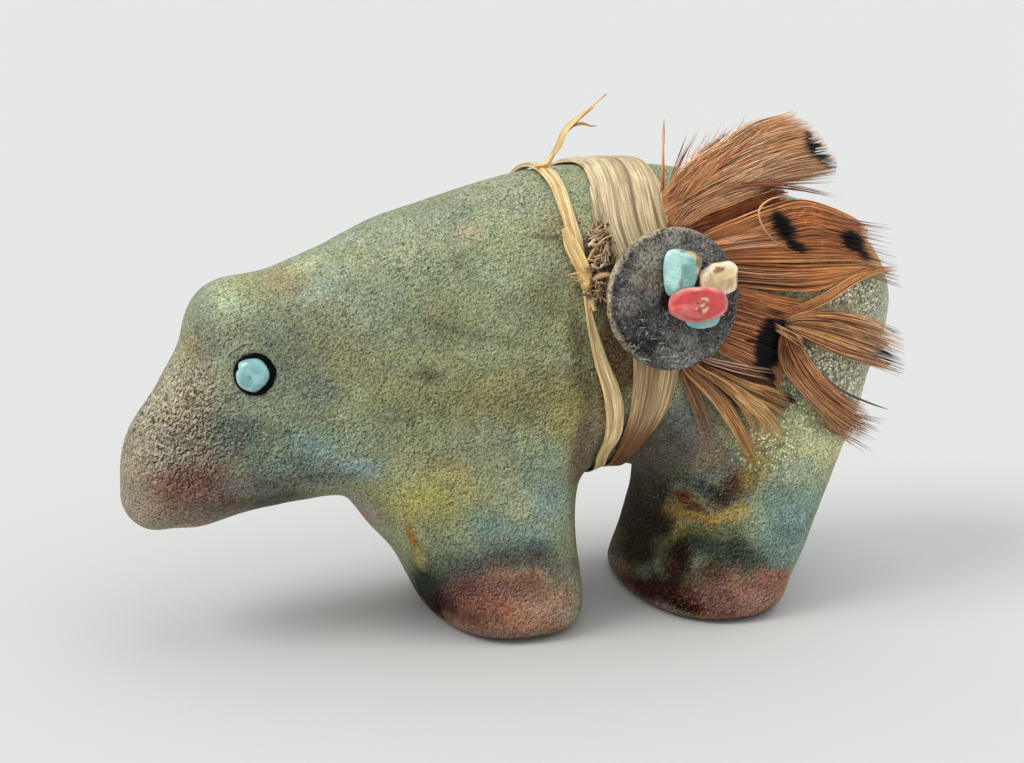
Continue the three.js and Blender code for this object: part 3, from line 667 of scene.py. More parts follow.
    (711, 459, 20, 13, 10, (132, 120, 92), 0.8, 0.9),
    (744, 479, 16, 12, 0, (122, 104, 62), 0.8, 0.9),
    (757, 440, 18, 14, 0, (176, 154, 100), 0.8, 0.9),
    (700, 509, 9, 4, 14, (96, 66, 34), 0.7, 0.9),
    (806, 440, 34, 20, 0, (196, 198, 157), 0.85, 0.9),
    (800, 470, 22, 14, 0, (166, 178, 152), 0.7, 0.9),
    (841, 380, 26, 32, 0, (186, 188, 162), 0.8, 1.0),
    (872, 298, 16, 26, 0, (132, 128, 110), 0.8, 0.9),
    (546, 300, 24, 28, 0, (112, 112, 80), 0.62, 1.0),
    (450, 330, 32, 26, 0, (112, 114, 84), 0.55, 1.0),
    (586, 418, 12, 20, 0, (124, 113, 82), 0.7, 0.9),
    (230, 430, 22, 16, 0, (84, 88, 76), 0.55, 1.0),
    (760, 441, 20, 15, 0, (196, 184, 130), 0.8, 0.9),
    (700, 511, 12, 5, 14, (80, 56, 28), 0.75, 0.8),
    (650, 482, 20, 28, 0, (76, 65, 48), 0.7, 0.9),
    (651, 522, 17, 17, 0, (60, 51, 35), 0.75, 0.9),
    (669, 466, 20, 16, 0, (98, 98, 82), 0.6, 0.9),
    (640, 590, 14, 8, 30, (64, 34, 24), 0.85, 0.8),
    (700, 591, 26, 12, 0, (88, 56, 46), 0.6, 0.9),
    (745, 480, 14, 10, 0, (132, 112, 64), 0.6, 0.9),
    (430, 524, 17, 36, 14, (112, 118, 84), 0.5, 1.0),
    (440, 562, 14, 16, 20, (98, 106, 84), 0.85, 0.9),
    (500, 544, 44, 9, -2, (92, 103, 94), 0.6, 0.9),
    (681, 499, 9, 8, 20, (84, 44, 26), 0.75, 0.9),
    (676, 507, 12, 4, 30, (150, 122, 66), 0.7, 0.8),
    (716, 506, 13, 6, 24, (92, 70, 38), 0.75, 0.8),
    (741, 496, 9, 12, 0, (112, 88, 44), 0.8, 0.9),
    (741, 508, 12, 5, -24, (150, 134, 70), 0.8, 0.8),
    (732, 486, 12, 15, 0, (76, 48, 42), 0.75, 0.8),
    (747, 470, 5, 26, 8, (152, 128, 66), 0.6, 0.8),
    (694, 516, 24, 3, 14, (170, 142, 74), 0.45, 0.8),
    (700, 531, 22, 7, -4, (82, 76, 44), 0.6, 0.9),
    (185, 484, 34, 22, 0, (96, 64, 54), 0.45, 1.0),
    (352, 232, 22, 10, 20, (150, 152, 132), 0.6, 1.0),
    (470, 618, 22, 11, 20, (84, 46, 38), 0.7, 0.9),
    (546, 300, 20, 24, 0, (106, 104, 76), 0.4, 1.0),
    (500, 400, 26, 22, 0, (134, 130, 86), 0.45, 1.0),
    (440, 480, 20, 14, 0, (136, 132, 86), 0.5, 1.0),
    (230, 450, 20, 16, 0, (90, 88, 82), 0.55, 1.0),
    (300, 480, 26, 8, -6, (86, 98, 96), 0.6, 0.9),
    (250, 470, 16, 8, -6, (94, 104, 100), 0.5, 0.9),
    (850, 370, 20, 24, 0, (150, 146, 122), 0.7, 1.0),
    (802, 442, 30, 22, 0, (198, 194, 136), 0.5, 1.0),
    (862, 300, 22, 26, 0, (172, 172, 142), 0.55, 1.0),
    (858, 345, 22, 14, 0, (176, 176, 146), 0.5, 1.0),
    # soot and glue dust round the bindings
    (590, 268, 26, 32, 20, (78, 60, 44), 0.92, 0.8),
    (545, 236, 22, 3, 2, (92, 88, 68), 0.75, 0.7),
    (617, 356, 22, 60, -10, (86, 64, 44), 0.96, 0.6),
    (612, 402, 15, 42, -8, (94, 76, 56), 0.9, 0.8),
    (598, 378, 9, 40, -6, (116, 107, 77), 0.8, 0.8),
    (604, 428, 9, 26, -6, (150, 128, 102), 0.8, 0.8),
    (625, 440, 16, 30, 0, (104, 88, 72), 0.8, 0.8),
]
# The far flank and everything turned away: the same glazes, laid more plainly.
FAR = [
    (430, 330, 190, 120, 0, (138, 144, 114), 0.8, 1.0),
    (330, 300, 90, 40, -16, (134, 144, 126), 0.8, 1.0),
    (520, 240, 90, 36, -10, (142, 148, 120), 0.8, 1.0),
    (420, 400, 70, 40, 0, (124, 132, 110), 0.7, 1.0),
    (540, 360, 60, 40, 20, (150, 146, 98), 0.7, 1.0),
    (640, 300, 90, 60, 0, (130, 138, 120), 0.8, 1.0),
    (760, 290, 90, 70, 0, (158, 162, 134), 0.85, 1.0),
    (800, 400, 70, 60, 0, (150, 156, 126), 0.8, 1.0),
    (700, 400, 60, 60, 0, (120, 130, 116), 0.8, 1.0),
    (270, 350, 90, 66, 0, (118, 122, 102), 0.85, 1.0),
    (222, 303, 34, 22, 0, (148, 158, 130), 0.7, 1.0),
    (160, 440, 60, 90, 20, (136, 124, 106), 0.9, 0.9),
    (190, 486, 70, 44, 6, (120, 92, 82), 0.9, 0.9),
    (290, 450, 70, 34, 6, (104, 124, 114), 0.85, 0.9),
    (262, 498, 60, 14, -8, (90, 88, 84), 0.8, 0.8),
    (470, 500, 90, 44, 0, (146, 148, 106), 0.8, 1.0),
    (540, 500, 44, 50, 0, (128, 150, 136), 0.8, 0.9),
    (490, 556, 100, 24, 0, (84, 98, 90), 0.9, 0.8),
    (510, 606, 100, 40, 0, (140, 102, 86), 0.95, 0.6),
    (590, 450, 20, 60, 10, (120, 106, 92), 0.8, 0.7),
    (700, 470, 70, 46, 0, (116, 126, 112), 0.8, 0.9),
    (770, 500, 60, 60, 0, (120, 144, 132), 0.85, 0.9),
    (650, 500, 40, 60, 0, (96, 86, 70), 0.9, 0.8),
    (720, 552, 90, 22, 0, (78, 86, 76), 0.9, 0.8),
    (730, 600, 90, 36, 0, (134, 98, 86), 0.95, 0.6),
    (720, 520, 40, 10, 10, (150, 124, 62), 0.7, 0.8),
    (628, 578, 30, 12, 30, (140, 106, 80), 0.8, 0.7),
]


def laid_on(p, patches, seed):
    """Colours of points under a list of glaze patches; edges wander with the point's own noise."""
    uv = to_view(p)
    near, mid, fine = cloud(p, 9.0, seed, 3), noise(p, 2.2, seed + 3), noise(p, 0.9, seed + 5)
    grit = rng.normal(0, 1, (2, len(p)))
    near2, mid2 = cloud(p, 8.0, seed + 11, 3), noise(p, 2.0, seed + 14)
    tones = np.tile(np.array(lin(*SAGE)), (len(p), 1))
    for u, v, ru, rv, turn, glaze, cover, soft in patches:
        size = min(1.0, 0.35 + 0.02 * min(ru, rv))
        du = uv[:, 0] - u + size * (5.5 * near + 3.4 * mid + 2.6 * fine + 1.6 * grit[0])
        dv = uv[:, 1] - v + size * (5.5 * near2 + 3.4 * mid2 - 2.6 * fine + 1.6 * grit[1])
        c, s = math.cos(math.radians(turn)), math.sin(math.radians(turn))
        d = np.hypot((du * c + dv * s) / ru, (-du * s + dv * c) / rv)
        mask = cover * (1 - ease(1 - soft, 1 + 0.45 * soft, d + 0.10 * mid))
        tones += (np.array(lin(*glaze)) - tones) * mask[:, None]
    return tones


near_tone = laid_on(verts, NEAR, 40)
far_tone = laid_on(verts * FLIP, FAR, 70)
normals = unit(gradient(worked_skin, verts, 0.25))
toward = (normals * unit(EYE_POINT - verts)).sum(-1)
turned = (1 - ease(-0.26, -0.02, toward + 0.08 * cloud(verts, 9.0, 90, 2)))[:, None]
tone = near_tone * (1 - turned) + far_tone * turned

# Cloudy firing variation, drier bare clay on the soles, and painted shade on the faces turned down under the belly.
tone = tone * (1 + 0.14 * cloud(verts, 7.0, 101, 3) + 0.09 * noise(verts, 1.7, 104) + 0.05 * rng.normal(0, 1, len(verts)))[:, None]
warm = 0.06 * cloud(verts, 10.0, 107, 2) + 0.045 * cloud(verts, 3.2, 108, 2)
tone = tone * np.stack([1 + warm, 1 + 0.2 * warm, 1 - 1.3 * warm], -1)
sole = (1 - ease(0.2, 1.6, verts[:, 2] + 0.5 * noise(verts, 2.0, 111)))[:, None]
tone = tone * (1 - sole) + np.array(lin(122, 98, 80)) * (1 + 0.15 * noise(verts, 3.0, 113))[:, None] * sole
# painted shade: faces turned downward under the belly and the arch are darkened
belly_painted_shade = (ease(0.35, 0.9, -normals[:, 2]) * ease(6, 14, verts[:, 2]) * ease(-14, -4, verts[:, 0]))[:, None] * 0.75
tone = tone * (1 - belly_painted_shade) + np.array(lin(98, 86, 76)) * belly_painted_shade

# Fine dry cracks and scrapes, as thin dark or pale lines on the near side, and a painted highlight along the lid fold
# over the eye.
def stroke(path, width, wander, seed):
    path = np.array(path, float)
    uv = to_view(verts) + wander * np.stack([noise(verts, 2.0, seed), noise(verts, 2.0, seed + 1)], -1)
    best = np.full(len(verts), 1e9)
    for a, b in zip(path[:-1], path[1:]):
        ab = b - a
        t = np.clip(((uv - a) @ ab) / (ab @ ab), 0, 1)
        best = np.minimum(best, np.linalg.norm(uv - a - t[:, None] * ab, axis=1))
    return np.exp(-((best / width) ** 2)) * (verts[:, 1] < 0)


for path, width, wander, shade, amount in [
    ([(392, 320), (440, 326), (480, 338), (520, 346), (560, 350)], 3.0, 3.0, 0.72, 0.7),
    ([(540, 238), (575, 240), (600, 243)], 2.0, 1.0, 0.55, 0.8),
    ([(424, 366), (428, 380)], 3.0, 2.0, 0.62, 0.8),
    # painted highlight along the raised lid fold over the eye
    ([(222, 366), (232, 356), (243, 350), (256, 347)], 1.8, 0.5, 1.45, 0.8),
    ([(505, 318), (540, 330), (568, 334)], 3.5, 3.0, 0.8, 0.6),
    ([(590, 430), (588, 470)], 1.4, 0.6, 1.5, 0.6),
]:
    tone = tone * (1 + (shade - 1) * amount * stroke(path, width, wander, 120))[:, None]

# glint: where the metallic flecks and their painted glints gather, thick on the rump and haunch, sparse elsewhere
view = to_view(verts)
glint = np.exp(-(((view[:, 0] - 825) / 60) ** 2 + ((view[:, 1] - 370) / 95) ** 2))
glint = np.maximum(glint, 0.9 * np.exp(-(((view[:, 0] - 770) / 45) ** 2 + ((view[:, 1] - 445) / 36) ** 2)))
glint = np.maximum(glint, np.exp(-(((view[:, 0] - 852) / 44) ** 2 + ((view[:, 1] - 292) / 30) ** 2)))
glint = np.maximum(glint, 0.30 * np.exp(-(((view[:, 0] - 540) / 60) ** 2 + ((view[:, 1] - 430) / 60) ** 2)))
glint = np.maximum(glint, 0.10 + 0.12 * cloud(verts, 8.0, 131, 2))
leather = np.maximum(np.exp(-(((view[:, 0] - 180) / 60) ** 2 + ((view[:, 1] - 420) / 75) ** 2)), 0.22 + 0.22 * cloud(verts, 9.0, 133, 2))
for u, v, ru, rv, much in ((500, 602, 90, 34, 0.40), (705, 480, 62, 46, 0.42), (705, 600, 80, 30, 0.36), (420, 262, 60, 24, 0.45), (500, 190, 90, 26, 0.45)):
    leather = np.maximum(leather, much * np.exp(-(((view[:, 0] - u) / ru) ** 2 + ((view[:, 1] - v) / rv) ** 2)))

body = piece(make("clay_body", verts, quads, tone=np.clip(tone, 0.004, 0.9), extra={"glint": np.clip(glint, 0, 1), "leather": np.clip(leather, 0, 1)}), "bear_body")

clay = Nodes("raku_clay")
tone_at = clay.attr("tone")
leather_at = clay.attr("leather", "Fac")
glint_at = clay.attr("glint", "Fac")


def grain_with_painted_emboss(scale, detail, rough, distort, reach):
    """Relief noise, and how far it falls away toward the brow-side of each grain, which is used as painted light and
    shade on the grain's slopes.
    """
    here = clay.noise(scale, detail, rough, distort=distort)
    there = clay.noise(scale, detail, rough, distort=distort, vector=clay.vmath("ADD", clay.pos, (-0.62 * reach, 0.2 * reach, 0.75 * reach)))
    return here, clay.math("SUBTRACT", here, there)


# dry wrinkled glaze skin: coarse worm-like wrinkles on the muzzle and brow, fine grain all over
worms, worm_painted_light = grain_with_painted_emboss(1500, 2.0, 0.5, 1.0, 0.00015)
grain, grain_painted_light = grain_with_painted_emboss(2900, 3.0, 0.62, 0.5, 0.00009)
fine = clay.noise(7000, 2.0, 0.6)
mottle = clay.noise(620, 4.0, 0.6)
patchy = clay.noise(190, 3.0, 0.55)
amount = clay.span(leather_at, 0.25, 1.0, 0.09, 1.0, False)
# painted light and shade: each wrinkle and grain is lightened on the slope facing up and toward the head and darkened
# on the other slope, in the base colour
side = clay.math("ADD", clay.math("MULTIPLY", clay.math("MULTIPLY", worm_painted_light, 11.0), amount), clay.math("MULTIPLY", grain_painted_light, 2.7))
light = clay.math("ADD", clay.span(grain, 0.36, 0.64, 0.63, 1.37, False), clay.span(fine, 0.35, 0.65, -0.30, 0.30, False))
light = clay.math("ADD", light, clay.math("MINIMUM", clay.math("MAXIMUM", side, -0.70), 1.35))
light = clay.math("MULTIPLY", light, clay.span(mottle, 0.3, 0.7, 0.88, 1.12, False))
pit = clay.span(clay.noise(2100, 3.0, 0.6), 0.62, 0.69, 0.0, 0.6)
light = clay.math("MULTIPLY", light, clay.math("SUBTRACT", 1.03, pit))
base = clay.vmath("MULTIPLY", tone_at, light)
base = clay.mix(clay.span(patchy, 0.52, 0.72, 0.0, 0.16), base, clay.vmath("MULTIPLY", base, (0.80, 1.02, 1.04)))
base = clay.mix(clay.span(clay.noise(1250, 3.0, 0.6), 0.58, 0.70, 0.0, 0.34), base, clay.vmath("MULTIPLY", base, (1.34, 1.14, 0.82)))
# painted highlight: the lit slopes of the wrinkles and grains turned pale, carried even over the sooty glaze
base = clay.mix(clay.span(side, 0.16, 0.80, 0.0, 0.40), base, (0.36, 0.35, 0.31))
# a thin raised fold over the inner corner of each eye, with a painted highlight along its crest and painted shade in
# the groove under it
rel = clay.vmath("SUBTRACT", clay.vmath("ABSOLUTE", clay.vmath("ADD", clay.pos, (-1.0, SHIFT[1] / 1000.0, 0.0))), (1.0 - (EYE_AT[0] - SHIFT[0]) / 1000.0, -EYE_AT[1] / 1000.0, EYE_AT[2] / 1000.0))
rel = clay.vmath("MULTIPLY", rel, (-1000.0, -1000.0, 1000.0))
out_of = clay.vmath("DOT_PRODUCT", rel, tuple(EYE_OUT), "Value")
flat_at = clay.vmath("SUBTRACT", clay.vmath("SUBTRACT", rel, clay.vmath("SCALE", tuple(EYE_OUT), scale=out_of)), (-0.32, 0.0, 0.12))
fold_r = clay.math("ADD", clay.vmath("LENGTH", flat_at, out="Value"), clay.span(clay.noise(900, 2.0), 0.3, 0.7, -0.12, 0.12, False))
corner = clay.math("MULTIPLY", clay.span(clay.vmath("DOT_PRODUCT", flat_at, (-0.62, 0.0, 0.78), "Value"), 2.3, 3.1), clay.span(out_of, -3.0, -2.0))
fold = clay.math("MULTIPLY", clay.span(clay.math("ABSOLUTE", clay.math("SUBTRACT", fold_r, 3.72)), 0.05, 0.20, 1.0, 0.0), corner)
under = clay.math("MULTIPLY", clay.span(clay.math("ABSOLUTE", clay.math("SUBTRACT", fold_r, 3.42)), 0.04, 0.20, 1.0, 0.0), corner)
base = clay.mix(clay.math("MULTIPLY", fold, 0.55), base, clay.vmath("ADD", clay.vmath("MULTIPLY", tone_at, (1.6, 1.6, 1.6)), (0.08, 0.08, 0.07)))
base = clay.mix(clay.math("MULTIPLY", under, 0.65), base, clay.vmath("MULTIPLY", tone_at, (0.30, 0.30, 0.30)))
shine = clay.span(glint_at, 0.4, 1.0, 0.0, 0.60)
base = clay.vmath("MULTIPLY", base, clay.math("SUBTRACT", 1.0, clay.math("MULTIPLY", shine, clay.span(clay.noise(1300, 3.0, 0.6), 0.42, 0.58, 0.0, 1.0))))
# metallic copper-matt flecks with painted glints: scattered grains turned bright and pale in the base colour, thick
# where the glaze pooled
pick = clay.t.nodes.new("ShaderNodeSeparateColor")
ragged_at = clay.vmath("ADD", clay.pos, clay.vmath("SCALE", clay.vmath("SUBTRACT", clay.noise(2600, 2.0, 0.6, color=True), (0.5, 0.5, 0.5)), scale=0.0007))
clay.t.links.new(clay.voronoi(2500, "F1", vector=ragged_at, out="Color"), pick.inputs[0])
dot = clay.span(clay.voronoi(2500, "F1", vector=ragged_at), 0.26, 0.48, 1.0, 0.0)
wanted = clay.span(glint_at, 0.05, 1.0, 0.993, 0.36, False)
spark_at = clay.math("MULTIPLY", clay.math("GREATER_THAN", pick.outputs[0], wanted), dot)
spark_at = clay.math("MULTIPLY", spark_at, clay.span(glint_at, 0.0, 0.5, 0.45, 1.0))
spark_at = clay.math("MULTIPLY", spark_at, clay.span(clay.vmath("DOT_PRODUCT", tone_at, (0.3, 0.6, 0.1), "Value"), 0.02, 0.12, 0.12, 1.0))
base = clay.mix(clay.math("MULTIPLY", spark_at, 0.92), base, clay.vmath("ADD", clay.vmath("MULTIPLY", tone_at, (0.9, 0.9, 0.8)), clay.vmath("MULTIPLY", (0.80, 0.78, 0.54), clay.span(glint_at, 0.2, 0.9, 0.45, 1.0))))
height = clay.math("ADD", clay.math("MULTIPLY", grain, 0.7), clay.math("MULTIPLY", fine, 0.25))
height = clay.math("ADD", height, clay.math("MULTIPLY", clay.math("MULTIPLY", worms, amount), 1.3))
height = clay.math("SUBTRACT", height, clay.math("MULTIPLY", pit, 0.3))
height = clay.math("ADD", height, clay.math("SUBTRACT", clay.math("MULTIPLY", fold, 0.7), clay.math("MULTIPLY", under, 0.5)))
clay.set(
    Base_Color=base,
    Roughness=clay.math("SUBTRACT", clay.span(mottle, 0.3, 0.7, 0.46, 0.62), clay.math("MULTIPLY", spark_at, 0.22)),
    Metallic=clay.math("MULTIPLY", spark_at, 0.3),
    Specular_IOR_Level=clay.math("MULTIPLY", clay.span(glint_at, 0.1, 0.8, 0.12, 0.30), clay.span(clay.vmath("DOT_PRODUCT", tone_at, (0.3, 0.6, 0.1), "Value"), 0.03, 0.14, 0.06, 1.0)),
    Normal=clay.bump(height, 0.00018, 1.0),
)
wear(body, clay.mat)

# ---------------------------------------------------------------- strands
def cubic(count, t):
    """Indices and weights of a smooth curve through count control points, at t in 0..1."""
    x = np.clip(t, 0, 1) * (count - 1)
    i = np.clip(np.floor(x).astype(int), 0, max(count - 2, 0))
    f = x - i
    w = [-0.5 * f + f**2 - 0.5 * f**3, 1 - 2.5 * f**2 + 1.5 * f**3, 0.5 * f + 2 * f**2 - 1.5 * f**3, -0.5 * f**2 + 0.5 * f**3]
    return [np.clip(i + k, 0, count - 1) for k in (-1, 0, 1, 2)], w


def spline(points, t):
    """Smooth curve through control points (K, D), read at t of any shape."""
    points = np.asarray(points, float)
    idx, w = cubic(len(points), np.asarray(t, float))
    return sum(points[i] * k[..., None] for i, k in zip(idx, w))


def sheet(grid, a, t):
    """Smooth sheet through a grid of control points (G, K, D), read across at a and along at t."""
    ia, wa = cubic(grid.shape[0], a)
    it, wt = cubic(grid.shape[1], t)
    return sum(grid[i, j] * (p * q)[..., None] for i, p in zip(ia, wa) for j, q in zip(it, wt))


def hairs(paths, half, tones, out=(0.0, -1.0, 0.15), flat=0.62):
    """Closed three-sided strands along paths (N, M, 3), each drawn out to a point."""
    n, m, _ = paths.shape
    along = unit(np.gradient(paths, axis=1))
    side = unit(np.cross(along, np.broadcast_to(np.array(out), along.shape)))
    lift = unit(np.cross(side, along))
    rings = []
    for a in (90, 210, 330):
        c, s = math.cos(math.radians(a)), math.sin(math.radians(a))
        rings.append(paths + half[..., None] * (side * c + lift * s * flat))
    ring = np.stack(rings, 2)[:, :-1]                      # N, M-1, 3 corners, xyz
    tip = paths[:, -1:]
    per = 3 * (m - 1) + 1
    pts = np.concatenate([ring.reshape(n, -1, 3), tip], 1).reshape(-1, 3)
    col = np.concatenate([np.repeat(tones[:, :-1], 3, axis=1), tones[:, -1:]], 1).reshape(-1, 3)
    u = np.concatenate([np.repeat(np.linspace(0.01, 0.97, m - 1), 3), [0.99]])
    v = np.concatenate([np.tile([0.15, 0.5, 0.85], m - 1), [0.5]])
    uv = np.stack([np.tile(u, (n, 1)), (np.arange(n)[:, None] + v) / n], -1).reshape(-1, 2)
    tris = [(0, 2, 1)]
    for i in range(m - 2):
        for k in range(3):
            a, b = 3 * i + k, 3 * i + (k + 1) % 3
            tris += [(a, b, b + 3), (a, b + 3, a + 3)]
    e = 3 * (m - 2)
    tris += [(e, e + 1, per - 1), (e + 1, e + 2, per - 1), (e + 2, e, per - 1)]
    faces = (np.array(tris)[None] + per * np.arange(n)[:, None, None]).reshape(-1, 3)
    return pts, faces, col, uv


def merged(parts):
    verts, faces, cols, uvs, base = [], [], [], [], 0
    rows = len(parts)
    for r, (p, f, c, u) in enumerate(parts):
        verts.append(p)
        faces.append(f + base)
        cols.append(c)
        uvs.append(np.stack([u[:, 0], (u[:, 1] + r) / rows], -1))
        base += len(p)
    return np.concatenate(verts), np.concatenate(faces), np.concatenate(cols), np.concatenate(uvs)


def bind(name, parts, *nodes):
    p, f, c, u = merged(parts)
    c = c / np.maximum(c.max(-1, keepdims=True) / 0.86, 1)      # bright barbs keep their hue
    return piece(make(name, p, f, tone=np.clip(c, 0.002, 0.95), uv=u), *nodes)


def onto_flank(uv, floor_y, lift):
    """Working-frame points seen at uv, standing lift off the flank and at least floor_y from the middle."""
    ray = view_rays(uv)
    y = -np.full(uv.shape[:-1], 17.0)
    for _ in range(8):
        s = (y - EYE_POINT[1]) / ray[..., 1]
        x, z = EYE_POINT[0] + s * ray[..., 0], EYE_POINT[2] + s * ray[..., 2]
        y = 0.4 * y - 0.6 * (np.maximum(skin_half(x, z), floor_y) + lift)
    s = (y - EYE_POINT[1]) / ray[..., 1]
    return EYE_POINT + s[..., None] * ray


def shell(top, bottom, is_loop, tones, uv):
    """A closed thin shell between two sheets of points (A, S, 3)."""
    a, s, _ = top.shape
    ring = np.concatenate([top, bottom[:, ::-1]], 1)
    m = 2 * s
    idx = np.arange(a * m).reshape(a, m)
    nxt = np.roll(idx, -1, axis=1)
    rows = np.arange(a if is_loop else a - 1)
    q = np.stack([idx[rows], nxt[rows], nxt[(rows + 1) % a], idx[(rows + 1) % a]], -1).reshape(-1, 4)
    quads = [q]
    if not is_loop:
        for row, flip in ((0, True), (a - 1, False)):
            low = idx[row, ::-1]
            cap = np.stack([idx[row, :s - 1], idx[row, 1:s], low[1:s], low[:s - 1]], -1)
            quads.append(cap[:, ::-1] if flip else cap)
    quads = np.concatenate(quads)
    # face outward
    v = ring.reshape(-1, 3)
    t1, t2 = v[quads[:, [0, 1, 2]]], v[quads[:, [0, 2, 3]]]
    volume = sum(np.einsum("ij,ij->", t[:, 0], np.cross(t[:, 1], t[:, 2])) for t in (t1, t2))
    if volume < 0:
        quads = quads[:, ::-1]
    tones = np.concatenate([tones, tones[:, ::-1]], 1).reshape(-1, 3)
    uv = np.concatenate([uv, uv[:, ::-1]], 1).reshape(-1, 2)
    return v, quads, tones, uv


DISC_AT = np.array([15.8, -20.6, 45.2])
DISC_OUT = unit(np.array([0.05, -0.988, 0.14]))
DISC_UP = unit(np.array([0.0, 0.0, 1.0]) - DISC_OUT[2] * DISC_OUT)
DISC_ACROSS = np.cross(DISC_UP, DISC_OUT)
DISC_VIEW = to_view(DISC_AT)
DISC_REACH = 9.6


def under_disc(p):
    """What lies under the disc stays below its back."""
    rel = p - DISC_AT
    inside = np.hypot(rel @ DISC_ACROSS, rel @ DISC_UP) < DISC_REACH
    sunk = np.maximum(rel @ DISC_OUT + 1.05, 0) * inside
    return p - sunk[..., None] * DISC_OUT


def spotted(col, seen, marks, jag):
    for u, v, ru, rv, turn, shade, cover in marks:
        c, q = math.cos(math.radians(turn)), math.sin(math.radians(turn))
        du, dv = seen[..., 0] - u, seen[..., 1] - v
        d = np.hypot((du * c + dv * q) / ru, (-du * q + dv * c) / rv) + jag
        mask = cover * (1 - ease(0.86, 1.06, d))
        col = col + (np.array(lin(*shade)) - col) * mask[..., None]
    return col


def guide_net(guides, rooted):
    k = max(len(g) for g in guides)
    ctrl = np.stack([spline(g, np.linspace(0, 1, k)) for g in guides])
    if rooted:
        ctrl = np.concatenate([ctrl[:, :1] + (DISC_VIEW - ctrl[:, :1]) * rooted, ctrl], 1)
    return ctrl


def vane(guides, tones, lift=0.7, plane=(16.0, 12.0), rooted=0.0, marks=(), lanes=170, steps=46, end=(0.80, 0.95), groups=14,
         ridge=0.15, vary=0.19, arch=0.3, thick=0.09, seed=400, begin=0.0):
    """The barbs of one feather lying together: a thin ribbed sheet whose far end is cut into points."""
    ctrl = guide_net(guides, rooted)
    a = np.linspace(0, 1, lanes)
    own = rng.normal(0, 1, lanes)
    cell = (a * groups + 0.5 * noise(np.stack([a * groups * 0.7, a * 0, a * 0], -1), 1.0, seed)).astype(int) % (groups + 2)
    reach = rng.uniform(*end, groups + 2)[cell] + 0.02 * own
    reach = np.convolve(np.pad(reach, 1, mode="edge"), [0.25, 0.5, 0.25], "valid")
    t = begin + (reach[None] - begin) * np.linspace(0, 1, steps)[:, None]
    aa = np.broadcast_to(a[None], t.shape)
    uv = sheet(ctrl, aa, t)
    flow = np.stack([aa * groups * 1.6, t * 1.4, 0 * t + 0.1 * seed], -1)
    strand = np.stack([aa * lanes / 3.2, t * 2.6, 0 * t + 0.2 * seed], -1)
    ribs = noise(flow, 1.0, seed + 1)
    level = lift + arch * np.sin(math.pi * np.clip(t, 0, 1)) + ridge * ribs + 0.035 * noise(strand, 1.0, seed + 2)
    p = under_disc(onto_flank(uv, plane[0] + (plane[1] - plane[0]) * t, np.maximum(level, 0.32)))
    shades = np.array([lin(*c) for c in tones])
    light = 0.9 * ribs * vary + vary * 1.5 * noise(strand, 1.0, seed + 3) + 0.6 * vary * noise(strand * np.array([0.35, 0.8, 1.0]), 1.0, seed + 4)
    col = spline(shades, np.clip(t, 0, 1)) * np.exp(light)[..., None]
    warm = 0.04 * noise(flow * 1.7, 1.0, seed + 5)
    col = col * np.stack([1 + warm, np.ones_like(warm), 1 - warm], -1)
    col = spotted(np.maximum(col, 0.004), to_view(p), marks, (0.10 * own)[None] + 0.10 * noise(strand, 1.0, seed + 6))
    out = np.array([0.0, -1.0, 0.15])
    v, q, c, u = shell(p, p - thick * out, False, col, np.stack([0.01 + 0.98 * t, 0.02 + 0.96 * aa], -1))
    return v, np.concatenate([q[:, [0, 1, 2]], q[:, [0, 2, 3]]]), c, u


def barbs(guides, n, tones, lift=(0.5, 1.5), width=0.058, clumps=24, stray=1.5, end=(0.86, 1.0), start=(0.0, 0.1),
          plane=(16.0, 12.0), rooted=0.0, marks=(), vary=0.42, arch=0.35, points=11, curl=0.0, gather=0.4):
    """A lock of single barbs between guide curves given in view coordinates."""
    ctrl = guide_net(guides, rooted)
    s = (np.arange(n) + rng.uniform(0, 1, n)) / n
    centre = (np.floor(s * clumps) + 0.5) / clumps + rng.normal(0, 0.12 / clumps, n)
    t0, t1 = rng.uniform(*start, n), rng.uniform(*end, n)
    t = t0[:, None] + (t1 - t0)[:, None] * np.linspace(0, 1, points)
    pull = gather * rng.uniform(0.2, 1, n)[:, None] * np.clip(t, 0, 1) ** 1.3
    across = np.clip(s[:, None] * (1 - pull) + centre[:, None] * pull, 0, 1)
    uv = sheet(ctrl, across, t)
    head = unit(np.gradient(uv, axis=1))
    normal = np.stack([-head[..., 1], head[..., 0]], -1)
    sway = rng.normal(0, stray, n)[:, None] * t**2.4 + rng.normal(0, 0.30 * stray, n)[:, None] * np.sin(math.pi * t * rng.uniform(1, 2.2, n)[:, None])
    uv = uv + normal * (sway + curl * t**3)[..., None]
    level = rng.uniform(*lift, n)[:, None] + arch * rng.uniform(-0.2, 1, n)[:, None] * np.sin(math.pi * np.clip(t, 0, 1)) + rng.normal(0, 0.2, n)[:, None] * t**2
    level = np.maximum(level, 0.30)
    p = under_disc(onto_flank(uv, plane[0] + (plane[1] - plane[0]) * t, level))
    half = width * rng.uniform(0.7, 1.3, n)[:, None] * (0.75 + 0.5 * np.sin(math.pi * np.linspace(0.12, 0.95, points)))
    half = half * np.clip((1 - np.linspace(0, 1, points)) * 4, 0.30, 1) * np.clip(0.25 + np.linspace(0, 1, points) * 6, 0, 1)
    shades = np.array([lin(*c) for c in tones])
    bright = np.exp(rng.normal(0, vary, n))[:, None] * (1 + 0.08 * rng.normal(0, 1, (n, 1)) * np.sin(t * 7 + rng.uniform(0, 6, (n, 1))))
    col = np.maximum(spline(shades, np.clip(t, 0, 1)) * bright[..., None], 0.004)
    warm = rng.normal(0.01, 0.035, n)[:, None]
    col = col * np.stack([1 + warm, np.ones_like(warm), 1 - warm], -1)
    return hairs(p, half, spotted(col, to_view(p), marks, rng.normal(0, 0.10, n)[:, None]))


